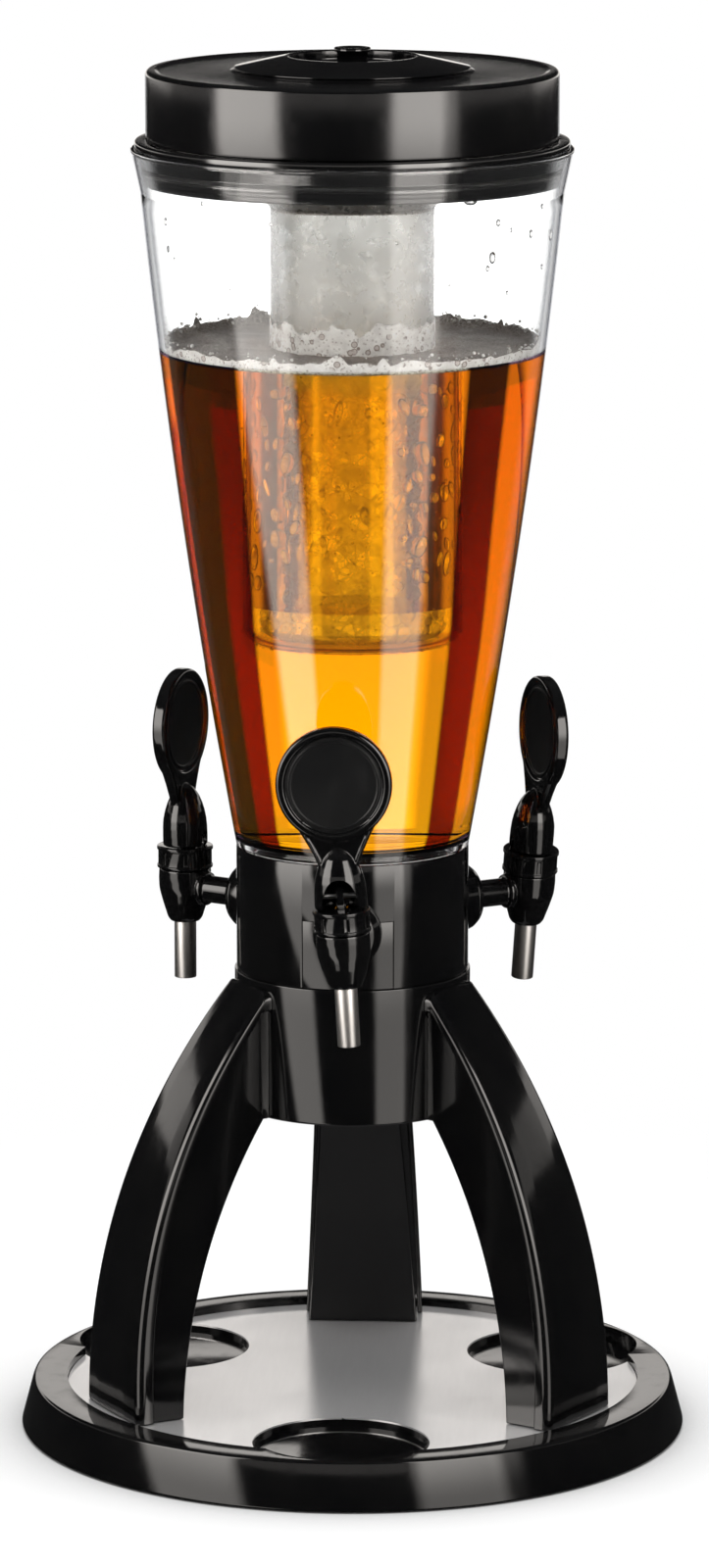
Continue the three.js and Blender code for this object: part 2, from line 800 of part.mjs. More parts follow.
/** Tap body: a tapering barrel with a chamber, and the hollow shank that goes into the container. */
function tapBody(name) {
  const barrel = barrelHeightShares.map((share, step) => [
    barrelRadius * barrelTopShares[step], share * (share < 0 ? barrelBottom : barrelTop),
  ]).reverse();
  const spigot = bonnetRadius - bonnetWall - clearance;
  const outside = turned([
    [0, -barrelBottom],
    ...barrel,
    [spigot, barrelTop],
    [spigot, bonnetTop - bonnetDeck - clearance],
    [0, bonnetTop - bonnetDeck - clearance],
  ], tapRoundSteps);
  const stepDistance = tapReach - flangeSaddle - flangeDome - clearance;
  const endDistance = tapAxisRadius - shankEnd;
  const shank = turned([
    [0, 0],
    [shankRadius, 0],
    [shankRadius, stepDistance],
    [shankThreadRadius, stepDistance + clearance],
    [shankThreadRadius, endDistance],
    [0, endDistance],
  ], tapRoundSteps).rotateX(-quarterTurn);
  const chamber = bar(chamberRadius, -chamberFloor, bonnetTop, tapRoundSteps);
  const seat = bar(seatBore, -barrelBottom - overrun, bonnetTop, tapRoundSteps);
  const socket = bar(spoutRadius + clearance, -barrelBottom - overrun, spoutSocket - barrelBottom, tapRoundSteps);
  const bore = barAlong(shankBore, 0, endDistance + overrun, tapRoundSteps);
  const body = cut(join([outside, shank]), [chamber, seat, socket, bore]);
  return piece(`tap_body_${name}`, body, 'gloss');
}

/** Domed washer on the shank, over a saddle hollowed to the collar's curve. */
function tapFlange(name) {
  const hole = shankRadius + clearance;
  const back = collarRadius + clearance;
  const middle = collarRadius + flangeSaddle;
  const low = Math.sqrt(back ** 2 - flangeRadius ** 2) - overrun / 2;
  const dome = flangeCrownShares.map((share, step) => [
    flangeRadius * share, -middle - flangeGroove - (flangeDome - flangeGroove) * flangeRiseShares[step],
  ]).reverse();
  const profile = [
    [hole, -middle - flangeDome],
    ...dome,
    [flangeRadius * flangeCrownShares[1], -middle - flangeGroove],
    [flangeRadius * flangeCrownShares[1], -middle],
    [flangeRadius, -middle],
    [flangeRadius, -low],
    [hole, -low],
  ];
  const washer = turnedRing(profile, tapRoundSteps).rotateX(-quarterTurn);
  const seat = bar(back, -flangeRadius - overrun, flangeRadius + overrun, bigRoundSteps);
  return piece(`tap_flange_${name}`, cut(washer, [seat]), 'gloss');
}

/** Rubber gasket inside the neck, rounded to its wall on one side and flat for the nut. */
function tapGasket(name) {
  const hole = shankThreadRadius + clearance;
  const flat = nutOuter + clearance;
  const washer = turnedRing([
    [hole, -neckInner], [gasketRadius, -neckInner], [gasketRadius, -flat], [hole, -flat],
  ], tapRoundSteps).rotateX(-quarterTurn);
  const wall = bar(neckInner - clearance, -gasketRadius - overrun, gasketRadius + overrun, bigRoundSteps);
  return piece(`tap_gasket_${name}`, common(washer, wall), 'rubber');
}

/** Hexagon nut on the shank's thread. */
function tapNut(name) {
  const across = nutAcross / Math.sqrt(3);
  const hexagon = barAlong(across, -nutOuter, -nutInner, nutSides);
  const hole = barAlong(shankThreadRadius + clearance, -nutOuter - overrun, -nutInner + overrun, tapRoundSteps);
  return piece(`tap_nut_${name}`, cut(hexagon, [hole]), 'gloss');
}

/** Bonnet: a notched ring nut with a deck that the lever rocks on. */
function tapBonnet(name) {
  const inner = bonnetRadius - bonnetWall;
  const lip = bonnetRadius + bonnetLip;
  const profile = [
    [inner, bonnetBottom],
    [bonnetRadius, bonnetBottom],
    [bonnetRadius, bonnetTop - bonnetLipHeight],
    [lip, bonnetTop - bonnetLipHeight + bonnetLip],
    [lip, bonnetTop],
    [stemRadius + 2 * clearance, bonnetTop],
    [stemRadius + 2 * clearance, bonnetTop - bonnetDeck],
    [inner, bonnetTop - bonnetDeck],
  ];
  const notches = [];
  for (let step = 0; step < notchCount; step += 1) {
    const turn = (step + 0.25) * ((2 * Math.PI) / notchCount);
    notches.push(block(
      [-notchWidth / 2, -bonnetRadius - overrun, bonnetBottom + notchDepth],
      [notchWidth / 2, -bonnetRadius + notchDepth, bonnetBottom + notchDepth + notchHeight],
    ).rotateZ(turn));
  }
  return piece(`tap_bonnet_${name}`, cut(turnedRing(profile, tapRoundSteps), notches), 'gloss');
}

/** The paddle's round head, turned about Y, with a shallow recess on both faces. */
function paddleHead() {
  const half = paddleThickness / 2;
  const roundShare = 1 - Math.SQRT1_2;
  const rampRadius = paddleRecessRadius + paddleRecessRamp;
  const face = [
    [paddleRecessRadius, half - paddleRecessDepth],
    [rampRadius, half],
    [paddleRadius - paddleRound, half],
    [paddleRadius - paddleRound * roundShare, half - paddleRound * roundShare],
    [paddleRadius, half - paddleRound],
  ];
  const otherFace = face.map(([radius, height]) => [radius, -height]);
  const profile = [
    [0, -half + paddleRecessDepth],
    ...otherFace,
    ...face.reverse(),
    [0, half - paddleRecessDepth],
  ];
  return turned(profile, paddleRoundSteps).rotateX(-quarterTurn);
}

/** The paddle's neck, from the head's sides down to two ear tips beside the hood. */
function paddleNeck() {
  const shape = new THREE.Shape();
  const startX = (paddleRadius - neckBevel) * Math.cos(neckTangent);
  const startZ = -(paddleRadius - neckBevel) * Math.sin(neckTangent);
  const tipX = neckTipHalfWidth - neckBevel;
  const tipZ = -neckTipDrop;
  const waistX = tipX + (startX - tipX) * (1 - neckWaistShares[1]);
  const waistZ = startZ + (tipZ - startZ) * neckWaistShares[0];
  shape.moveTo(-startX, startZ);
  shape.quadraticCurveTo(-waistX, waistZ, -tipX, tipZ);
  shape.lineTo(0, tipZ + neckTipHalfWidth);
  shape.lineTo(tipX, tipZ);
  shape.quadraticCurveTo(waistX, waistZ, startX, startZ);
  const geometry = new THREE.ExtrudeGeometry(shape, {
    depth: neckThickness - 2 * neckBevel,
    bevelEnabled: true,
    bevelThickness: neckBevel,
    bevelSize: neckBevel,
    bevelSegments: 1,
    curveSegments: 4,
  });
  return geometry.translate(0, 0, neckBevel - neckThickness / 2).rotateX(quarterTurn);
}

/** The hood over the bonnet, flattened front to back, or its hollow when a wall is taken off. */
function hoodForm(wall, bottom) {
  const shell = hoodHeightShares.map((share, step) => [
    Math.max(hoodRadius * hoodRadiusShares[step] - wall, 0), share * (hoodHeight - wall),
  ]);
  const start = wall > 0 ? [[0, bottom], [shell[1][0], bottom], shell[1]] : [[0, 0], shell[0], shell[1]];
  return turned([...start, ...shell.slice(2)], tapRoundSteps).scale(1, hoodDepthShare, 1);
}

/** Lever: paddle, neck and hood in one moulding, open at the front for the plunger's fork. */
function tapLever(name) {
  const head = paddleHead().translate(0, -paddleOffset, paddleRise);
  const neck = paddleNeck().translate(0, -paddleOffset / 2, paddleRise);
  const hood = hoodForm(0, 0).translate(0, 0, hoodBottom);
  const hollow = hoodForm(hoodWall, -overrun).translate(0, 0, hoodBottom);
  const arch = new THREE.Shape();
  arch.moveTo(-archHalfWidth, -overrun);
  arch.lineTo(archHalfWidth, -overrun);
  arch.lineTo(archHalfWidth, 0);
  arch.quadraticCurveTo(archHalfWidth, archHeight, 0, archHeight);
  arch.quadraticCurveTo(-archHalfWidth, archHeight, -archHalfWidth, 0);
  const archCut = new THREE.ExtrudeGeometry(arch, {
    depth: hoodRadius + overrun, bevelEnabled: false, curveSegments: 4,
  }).rotateX(quarterTurn).translate(0, 0, hoodBottom);
  const backCut = block(
    [-backSlotHalfWidth, 0, hoodBottom - overrun],
    [backSlotHalfWidth, hoodRadius + overrun, hoodBottom + backSlotHeight],
  );
  const pinCut = barAlong(pinRadius + clearance / 2, -hoodRadius - overrun, hoodRadius + overrun, screwSteps)
    .rotateZ(quarterTurn).translate(0, 0, hoodBottom + pinRise);
  const lever = cut(join([head, neck, hood]), [hollow, archCut, backCut, pinCut]);
  return piece(`tap_lever_${name}`, lever, 'gloss');
}

/** Cross pin that links the lever to the plunger. */
function tapPin(name) {
  const half = hoodRadius - clearance;
  const pin = barAlong(pinRadius, -half, half, screwSteps)
    .rotateZ(quarterTurn).translate(0, 0, hoodBottom + pinRise);
  return piece(`tap_pin_${name}`, pin, 'screw');
}

/** How far the pin moves outward as the lever goes to the end of its travel. */
const pinShift = pivotReach * (1 - Math.cos(leverTravel)) + pinRise * Math.sin(leverTravel);

/** Plunger: a stem with a slotted eye round the pin, ending in the seat. */
function tapPlunger(name) {
  const pinHeight = hoodBottom + pinRise;
  const slotHalf = pinRadius + 1.5 * clearance;
  const slotFront = -pinShift - slotHalf;
  const eye = block(
    [-eyeThickness / 2, slotFront - eyeBorder, pinHeight - slotHalf - eyeBorder],
    [eyeThickness / 2, slotHalf + eyeBorder, pinHeight + slotHalf + eyeBorder],
  );
  const slot = block(
    [-eyeThickness / 2 - overrun, slotFront, pinHeight - slotHalf],
    [eyeThickness / 2 + overrun, slotHalf, pinHeight + slotHalf],
  );
  const seatTop = clearance - chamberFloor + seatHeight;
  const stem = bar(stemRadius, seatTop + clearance, pinHeight - slotHalf - clearance, screwSteps);
  return piece(`tap_plunger_${name}`, cut(join([eye, stem]), [slot]), 'gloss');
}

/** Rubber seat on the plunger's foot, which closes the outlet. */
function tapSeat(name) {
  const bottom = clearance - chamberFloor;
  const profile = [
    [0, bottom],
    [seatBore, bottom],
    [seatRadius, bottom + seatHeight / 4],
    [seatRadius, bottom + seatHeight / 2],
    [stemRadius + clearance, bottom + seatHeight],
    [0, bottom + seatHeight],
  ];
  return piece(`tap_seat_${name}`, turned(profile, tapRoundSteps), 'rubber');
}

/** Steel spout pressed into the barrel. */
function tapSpout(name) {
  const top = spoutSocket - barrelBottom - clearance;
  const bottom = -barrelBottom - spoutDrop;
  const profile = [
    [spoutRadius - spoutWall, bottom],
    [spoutRadius, bottom],
    [spoutRadius, top],
    [spoutRadius - spoutWall, top],
  ];
  return piece(`tap_spout_${name}`, turnedRing(profile, tapRoundSteps), 'steel');
}

/** One whole tap, leaned on its shank, with its lever turned on the bonnet's axis. */
function tap(place) {
  const { name } = place;
  const group = new THREE.Group();
  group.position.z = shankHeight;
  group.rotation.z = place.turn;
  const fixed = [tapFlange(name), tapGasket(name), tapNut(name)];
  const leaning = new THREE.Group();
  leaning.rotation.y = place.lean;
  const barrel = new THREE.Group();
  barrel.position.y = -tapAxisRadius;
  barrel.add(tapBody(name), tapSpout(name));
  const upper = new THREE.Group();
  upper.rotation.z = place.leverTurn;
  upper.add(tapBonnet(name), tapLever(name), tapPin(name), tapPlunger(name), tapSeat(name));
  barrel.add(upper);
  leaning.add(barrel);
  group.add(...fixed, leaning);
  return group;
}

const tower = new THREE.Group();
tower.add(
  baseTray(), servingPlate(), ...legPlaces.map(trayPad),
  ...legPlaces.map(leg), ...legPlaces.map(footScrew),
  hub(), ...legPlaces.map(hubScrew),
  collar(),
  ...tapPlaces.map(collarInsert),
  container(), containerFloor(),
  lidPlug(), lidCap(), lidSeal(),
  iceCap(), iceCapSeal(), iceTube(), iceTubeSeal(),
  ...tapPlaces.map(tap),
);

export default tower;
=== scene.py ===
"""Beer tower dispenser: a clear flared container of beer on a black three-legged stand with a serving
tray, three paddle taps round its collar and a lidded tube of crushed ice down its middle.

Sizes in the classes are millimetres. The origin is the centre of the footprint, +Z is up and the front
tap points to -Y.
"""

import logging
import math
import random
from dataclasses import dataclass, field
from enum import Enum
from typing import Callable, Iterable

import bmesh
import bpy
from mathutils import Matrix, Vector, noise


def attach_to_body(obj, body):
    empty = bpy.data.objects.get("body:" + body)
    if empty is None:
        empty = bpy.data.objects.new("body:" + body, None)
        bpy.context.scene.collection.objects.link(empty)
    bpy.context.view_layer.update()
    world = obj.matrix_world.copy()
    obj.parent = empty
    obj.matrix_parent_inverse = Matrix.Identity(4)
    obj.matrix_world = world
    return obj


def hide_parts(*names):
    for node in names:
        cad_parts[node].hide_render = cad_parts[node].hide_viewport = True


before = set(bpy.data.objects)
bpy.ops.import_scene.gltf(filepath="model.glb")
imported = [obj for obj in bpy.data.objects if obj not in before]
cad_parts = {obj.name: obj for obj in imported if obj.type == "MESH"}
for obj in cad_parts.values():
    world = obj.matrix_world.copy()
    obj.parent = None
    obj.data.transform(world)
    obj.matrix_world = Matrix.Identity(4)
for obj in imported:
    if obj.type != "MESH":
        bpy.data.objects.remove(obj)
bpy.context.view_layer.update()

MM = 0.001
QUARTER = math.pi / 2
THIRD = 2 * math.pi / 3
DEGREE = math.pi / 180

Colour = tuple[float, float, float]
Place = tuple[float, float]
Span = tuple[float, float]
Band = tuple[float, float, float, float]

log = logging.getLogger("beer_tower")


class Bodies(str, Enum):
    """The bodies that a piece can ride on."""

    STAND = "stand"
    LID = "lid"
    ICE_CAP = "ice_cap"
    ICE_TUBE = "ice_tube"


class Side(Enum):
    """Where a tap, a leg or a pocket stands round the tower."""

    FRONT = "front"
    LEFT = "left"
    RIGHT = "right"
    REAR = "rear"


# Shading

class Signal:
    """A number that leaves a node's socket, with arithmetic that adds Math nodes."""

    def __init__(self, sheet: "Sheet", socket: bpy.types.NodeSocket) -> None:
        """Wraps one output socket.

        Args:
            sheet: the node tree that the socket belongs to.
            socket: the output socket.
        """
        self.sheet = sheet
        self.socket = socket

    def _maths(self, operation: str, *terms: "Signal | float") -> "Signal":
        """One Math node on the given terms."""
        return self.sheet.add("Math", {"operation": operation}, dict(enumerate(terms))).out()

    def __add__(self, other: "Signal | float") -> "Signal":
        """Sum."""
        return self._maths("ADD", self, other)

    __radd__ = __add__

    def __sub__(self, other: "Signal | float") -> "Signal":
        """Difference."""
        return self._maths("SUBTRACT", self, other)

    def __rsub__(self, other: "Signal | float") -> "Signal":
        """Difference the other way round."""
        return self._maths("SUBTRACT", other, self)

    def __mul__(self, other: "Signal | float") -> "Signal":
        """Product."""
        return self._maths("MULTIPLY", self, other)

    __rmul__ = __mul__

    def __truediv__(self, other: "Signal | float") -> "Signal":
        """Quotient."""
        return self._maths("DIVIDE", self, other)

    def __pow__(self, other: float) -> "Signal":
        """Power."""
        return self._maths("POWER", self, other)

    def clipped(self) -> "Signal":
        """The number kept between 0 and 1."""
        return self.sheet.add("Clamp", {}, {"Value": self}).out()

    def unsigned(self) -> "Signal":
        """The number without its sign."""
        return self._maths("ABSOLUTE", self)

    def band(self, start: float, full: float, fade: float, end: float) -> "Signal":
        """A band that comes in from start to full and goes out from fade to end."""
        return self.step(start, full) * (1.0 - self.step(fade, end))

    def step(self, low: float, high: float) -> "Signal":
        """A smooth step from 0 at low to 1 at high.

        Args:
            low: where the step starts.
            high: where the step ends.

        Returns:
            The step.
        """
        values = {"Value": self, "From Min": low, "From Max": high}
        return self.sheet.add("MapRange", {"interpolation_type": "SMOOTHSTEP"}, values).out()


class Added:
    """A node that has just been added, with its outputs."""

    def __init__(self, sheet: "Sheet", node: bpy.types.Node) -> None:
        """Keeps the node and its sheet.

        Args:
            sheet: the node tree.
            node: the node.
        """
        self.sheet = sheet
        self.node = node

    def out(self, name: str | int = 0) -> Signal:
        """One output as a signal."""
        return Signal(self.sheet, self.node.outputs[name])


@dataclass
class Sheet:
    """The node tree of one material or of the world."""

    tree: bpy.types.NodeTree

    def add(self, kind: str, settings: dict | None = None, inputs: dict | None = None) -> Added:
        """Adds a node, with its settings first and then its values and links.

        Args:
            kind: the node's type without its ShaderNode prefix.
            settings: attributes of the node.
            inputs: values or signals by the input's name or number.

        Returns:
            The node.
        """
        node = self.tree.nodes.new("ShaderNode" + kind)
        for key, value in (settings or {}).items():
            setattr(node, key, value)
        for key, value in (inputs or {}).items():
            if isinstance(value, Signal):
                self.tree.links.new(value.socket, node.inputs[key])
            else:
                node.inputs[key].default_value = value
        return Added(self, node)

    def noise(
        self, size: float, detail: float = 3.0, stretch: Colour = (1, 1, 1), soft: float = 0.5,
    ) -> Signal:
        """Noise on the object's own coordinates.

        Args:
            size: the grain's size in millimetres.
            detail: octaves.
            stretch: how much longer the grain is along each axis.
            soft: the share that each octave keeps.

        Returns:
            The noise from 0 to 1.
        """
        return self.add("TexNoise", {}, {
            "Vector": self.scaled(size, stretch), "Scale": 1.0, "Detail": detail, "Roughness": soft,
        }).out("Fac")

    def cells(self, size: float, feature: str = "F1") -> Signal:
        """Voronoi cells on the object's own coordinates.

        Args:
            size: the cell's size in millimetres.
            feature: which distance is measured.

        Returns:
            The distance.
        """
        return self.add("TexVoronoi", {"feature": feature}, {
            "Vector": self.scaled(size, (1, 1, 1)), "Scale": 1.0,
        }).out("Distance")

    def scaled(self, size: float, stretch: Colour) -> Signal:
        """The object's own coordinates, one unit for each grain of the given size and stretch."""
        place = self.add("TexCoord").out("Object")
        scale = tuple(1 / (size * MM * share) for share in stretch)
        return self.add("VectorMath", {"operation": "MULTIPLY"}, {0: place, 1: scale}).out()

    def blend(self, mask: Signal | float, first: "Signal | Colour", second: "Signal | Colour") -> Signal:
        """A colour between two colours.

        Args:
            mask: 0 for the first and 1 for the second.
            first: a colour or its signal.
            second: a colour or its signal.

        Returns:
            The blended colour.
        """
        def full(value: "Signal | Colour") -> "Signal | tuple":
            """A colour with its alpha."""
            return value if isinstance(value, Signal) else (*value, 1.0)
        return self.add("Mix", {"data_type": "RGBA"}, {0: mask, 6: full(first), 7: full(second)}).out(2)

    def bump(self, height: Signal, depth: float, under: Signal | None = None) -> Signal:
        """A bumped normal.

        Args:
            height: the height from 0 to 1.
            depth: how deep the relief is in millimetres.
            under: another bump below this one.

        Returns:
            The normal.
        """
        inputs = {"Height": height, "Distance": depth * MM, "Strength": 1.0}
        if under is not None:
            inputs["Normal"] = under
        return self.add("Bump", {}, inputs).out()

    def place(self) -> tuple[Signal, Signal, Signal]:
        """The object's own coordinates in metres."""
        parts = self.add("SeparateXYZ", {}, {0: self.add("TexCoord").out("Object")})
        return parts.out("X"), parts.out("Y"), parts.out("Z")

    def facing(self) -> Signal:
        """How far the surface turns away from the eye."""
        return self.add("LayerWeight", {}, {"Blend": 0.5}).out("Facing")

    def end(self, shader: Added, output: bpy.types.Node, socket: str = "Surface") -> None:
        """Links a shader to the output node."""
        self.tree.links.new(shader.node.outputs[0], output.inputs[socket])

    def mixed(self, share: Signal | float, first: Added, second: Added) -> Added:
        """A Mix Shader between two shaders."""
        return self.add("MixShader", {}, {0: share, 1: first.out(), 2: second.out()})

    def lets_lamps_through(self, shader: Added, tint: Colour) -> Added:
        """The shader, open to the lamps' shadow rays in the given tint."""
        shadow = self.add("LightPath").out("Is Shadow Ray")
        clear = self.add("BsdfTransparent", {}, {"Color": (*tint, 1.0)})
        return self.mixed(shadow, shader, clear)


def new_material(name: str) -> tuple[bpy.types.Material, Sheet, bpy.types.Node]:
    """An empty node material.

    Args:
        name: the finish's name.

    Returns:
        The material, its sheet and its output node.
    """
    material = bpy.data.materials.new(name)
    material.use_nodes = True
    tree = material.node_tree
    tree.nodes.clear()
    return material, Sheet(tree), tree.nodes.new("ShaderNodeOutputMaterial")


@dataclass(frozen=True)
class Finish:
    """A named finish: the shader of its surface and, where it has one, of its inside."""

    name: str

    def surface(self, sheet: Sheet) -> Added:
        """The surface's shader."""
        raise NotImplementedError

    def inside(self, sheet: Sheet) -> Added | None:
        """The inside's shader, which most finishes don't have."""
        return None

    def material(self) -> bpy.types.Material:
        """The finish as a material."""
        material, sheet, output = new_material(self.name)
        sheet.end(self.surface(sheet), output)
        inside = self.inside(sheet)
        if inside:
            sheet.end(inside, output, "Volume")
        return material


@dataclass(frozen=True)
class MouldedPlastic(Finish):
    """Black injection-moulded plastic, from polished to satin."""

    dark: Colour = (0.0032, 0.0032, 0.0036)
    pale: Colour = (0.0055, 0.0053, 0.0053)
    gloss: float = 0.07
    smear: float = 0.06
    shine: float = 0.5
    grain: float = 0.0
    grain_size: float = 0.35
    ripple: float = 0.012

    def surface(self, sheet: Sheet) -> Added:
        """The surface's shader."""
        clouds = sheet.noise(26, 4)
        smears = sheet.noise(9, 5, (1, 1, 2.2)).step(0.48, 0.78)
        specks = sheet.noise(0.9, 2).step(0.72, 0.8)
        colour = sheet.blend(clouds.step(0.3, 0.7), self.dark, self.pale)
        colour = sheet.blend(specks * 0.12, colour, (0.03, 0.03, 0.03))
        normal = sheet.bump(sheet.noise(7, 2), self.ripple)
        if self.grain:
            normal = sheet.bump(sheet.noise(self.grain_size, 3), self.grain, normal)
        return sheet.add("BsdfPrincipled", {}, {
            "Base Color": colour,
            "Roughness": smears * self.smear + clouds * 0.03 + self.gloss,
            "Specular IOR Level": self.shine,
            "Normal": normal,
        })


@dataclass(frozen=True)
class Steel(Finish):
    """Stainless steel with its grain along one axis."""

    colour: Colour = (0.80, 0.785, 0.78)
    rough: float = 0.16
    metal: float = 1.0
    streak: Colour = (0.02, 1.0, 0.02)
    streak_size: float = 30.0
    relief: float = 0.004
    wear: float = 0.08
    fade: float = 0.9

    def surface(self, sheet: Sheet) -> Added:
        """The surface's shader."""
        streaks = sheet.noise(self.streak_size, 4, self.streak, 0.7)
        clouds = sheet.noise(40, 3)
        darker = tuple(value * self.fade for value in self.colour)
        colour = sheet.blend(streaks.step(0.3, 0.7), self.colour, darker)
        return sheet.add("BsdfPrincipled", {}, {
            "Base Color": colour,
            "Metallic": self.metal,
            "Roughness": streaks * self.wear + clouds.step(0.35, 0.8) * 0.04 + self.rough,
            "Normal": sheet.bump(streaks, self.relief),
        })


@dataclass(frozen=True)
class Rubber(Finish):
    """Black rubber with a dull dusty skin."""

    colour: Colour = (0.012, 0.012, 0.012)

    def surface(self, sheet: Sheet) -> Added:
        """The surface's shader."""
        dust = sheet.noise(4, 5)
        return sheet.add("BsdfPrincipled", {}, {
            "Base Color": sheet.blend(dust.step(0.4, 0.8), self.colour, (0.03, 0.03, 0.03)),
            "Roughness": dust * 0.2 + 0.55,
            "Normal": sheet.bump(sheet.noise(0.5, 3), 0.03),
        })


@dataclass(frozen=True)
class ClearPlastic(Finish):
    """Clear moulded plastic with faint flow marks, with painted shade that darkens it where it is seen edge
    on.
    """

    tint: Colour = (0.985, 0.99, 0.99)
    edge: Colour = (0.09, 0.095, 0.115)
    wave: float = 0.02
    edge_shade_on: Span = (0.71, 0.87)
    frost: float = 0.0
    fog_line: Span = (0.521, 0.529)
    flare: Span = (0.5935, 0.5945)
    flare_shade_line: Band = (0.5905, 0.5915, 0.5930, 0.5940)

    def surface(self, sheet: Sheet) -> Added:
        """The surface's shader."""
        marks = sheet.noise(60, 2, (1, 1, 3))
        rough: Signal | float = 0.0
        # Painted shade: the colour turns to the edge colour where the surface is seen edge on.
        colour = sheet.blend(sheet.facing().step(*self.edge_shade_on), self.tint, self.edge)
        if self.frost:
            height = sheet.place()[2]
            fog = sheet.noise(6, 4).step(0.25, 0.75) * 0.4 + 0.6
            rough = height.step(*self.fog_line) * fog * self.frost
            # Painted reflection: the colour turns pale grey from part way up the flare, a silvery ring;
            # painted shade: a thin dark band just below it.
            colour = sheet.blend(height.step(*self.flare) * 0.45, colour, (0.62, 0.60, 0.58))
            colour = sheet.blend(height.band(*self.flare_shade_line) * 0.8, colour, (0.20, 0.16, 0.14))
        shader = sheet.add("BsdfPrincipled", {}, {
            "Base Color": colour,
            "Transmission Weight": 1.0,
            "IOR": 1.49,
            "Roughness": rough,
            "Normal": sheet.bump(marks, self.wave),
        })
        return sheet.lets_lamps_through(shader, (0.95, 0.95, 0.95))


@dataclass(frozen=True)
class Beer(Finish):
    """Amber beer with painted shade: dark red and brown bands down its skin, fixed on the beer at any view.
    """

    amber: Colour = (0.992, 0.868, 0.02)
    density: float = 72.0
    # The colours from edge to line are painted shade: dark tints that stand in for the dark surroundings that
    # the beer shows by refraction.
    edge: Colour = (0.050, 0.0007, 0.0006)
    upper_edge_shade: Colour = (0.012, 0.0005, 0.0005)
    top_edge_shade: Colour = (0.0022, 0.0012, 0.02)
    shade: Colour = (0.0020, 0.0020, 0.03)
    outer: Colour = (0.60, 0.36, 0.8)
    line: Colour = (0.20, 0.03, 0.5)
    turn: float = 2.8
    front_from: Span = (-0.05, 0.05)
    side_from: Span = (0.64, 0.70)
    wall_from: Span = (0.046, 0.050)
    tube_from: Span = (0.372, 0.378)
    deepens: Span = (0.36, 0.48)
    top_band: Span = (0.5025, 0.5045)
    widens: Span = (0.38, 0.47)
    red_shade_from: Span = (0.600, 0.634)
    outer_shade_from: Span = (0.822, 0.849)
    shade_band: Band = (0.754, 0.794, 0.965, 0.985)
    line_shade_band: Band = (0.936, 0.954, 0.975, 0.99)
    line_shade_end: Span = (0.485, 0.500)

    def surface(self, sheet: Sheet) -> Added:
        """The surface's shader."""
        x, y, height = sheet.place()
        out = (x ** 2.0 + y ** 2.0) ** 0.5
        cosine, sine = math.cos(self.turn * DEGREE), math.sin(self.turn * DEGREE)
        across = (x * cosine + y * sine) / out
        front = ((x * sine - y * cosine) / out).step(*self.front_from)
        off = height.step(*self.widens) * 0.027 + across.unsigned()
        skin = (out.step(*self.wall_from) + 1.0 - height.step(*self.tube_from)).clipped()
        side = (across * -1.0).step(*self.side_from) * front * skin
        red = sheet.blend(height.step(*self.deepens), self.edge, self.upper_edge_shade)
        red = sheet.blend(height.step(*self.top_band), red, self.top_edge_shade)
        by_tube = (1.0 - out.step(0.040, 0.045)) * height.step(0.383, 0.386)
        colour = sheet.blend(by_tube, (1, 1, 1), (0.98, 0.78, 0.7))
        # Painted shade: red, orange and brown bands at set angles round the beer's skin, and a red line near
        # its front left edge.
        colour = sheet.blend(off.step(*self.red_shade_from) * skin, colour, red)
        colour = sheet.blend(off.step(*self.outer_shade_from) * skin, colour, self.outer)
        colour = sheet.blend(off.band(*self.shade_band) * side, colour, self.shade)
        low = 1.0 - height.step(*self.line_shade_end)
        colour = sheet.blend(across.unsigned().band(*self.line_shade_band) * side * low, colour, self.line)
        shader = sheet.add("BsdfPrincipled", {}, {
            "Base Color": colour,
            "Transmission Weight": 1.0,
            "IOR": 1.345,
            "Roughness": 0.0,
        })
        return sheet.lets_lamps_through(shader, (0.9, 0.6, 0.25))

    def inside(self, sheet: Sheet) -> Added:
        """The beer's depth of colour."""
        return sheet.add("VolumeAbsorption", {}, {"Color": (*self.amber, 1.0), "Density": self.density})


@dataclass(frozen=True)
class Water(Finish):
    """Water in drops and bubbles, with painted shade where a drop's rim turns away."""

    ior: float = 1.33
    tint: Colour = (1, 1, 1)
    rim: Colour = (1, 1, 1)

    def surface(self, sheet: Sheet) -> Added:
        """The surface's shader."""
        colour = sheet.blend(sheet.noise(3, 2), self.tint, tuple(v * 0.94 for v in self.tint))
        shader = sheet.add("BsdfPrincipled", {}, {
            # Painted shade: the colour turns to the rim colour where the surface is seen edge on.
            "Base Color": sheet.blend(sheet.facing().step(0.35, 0.7), colour, self.rim),
            "Transmission Weight": 1.0,
            "IOR": self.ior,
            "Roughness": 0.0,
        })
        return sheet.lets_lamps_through(shader, (0.95, 0.95, 0.95))


@dataclass(frozen=True)
class Froth(Finish):
    """Beer froth: creamy bubbles that let some of the beer's colour through."""

    cream: Colour = (0.74, 0.69, 0.64)
    tan: Colour = (0.22, 0.165, 0.14)
    cell: float = 2.4
    open_share: float = 0.35

    def surface(self, sheet: Sheet) -> Added:
        """The surface's shader."""
        walls = sheet.cells(self.cell, "DISTANCE_TO_EDGE").step(0.0, 0.16)
        fine = sheet.cells(self.cell * 0.4, "DISTANCE_TO_EDGE").step(0.0, 0.2)
        hollow = walls * 0.6 + fine * 0.4
        clouds = sheet.noise(18, 4).step(0.35, 0.7)
        shader = sheet.add("BsdfPrincipled", {}, {
            "Base Color": sheet.blend((hollow * 0.7 + clouds * 0.3).clipped(), self.cream, self.tan),
            "Roughness": walls * 0.3 + 0.15,
            "Normal": sheet.bump(hollow, 0.5),
        })
        clear = sheet.add("BsdfTransparent", {}, {"Color": (1.0, 0.93, 0.85, 1.0)})
        return sheet.mixed(hollow * self.open_share, shader, clear)


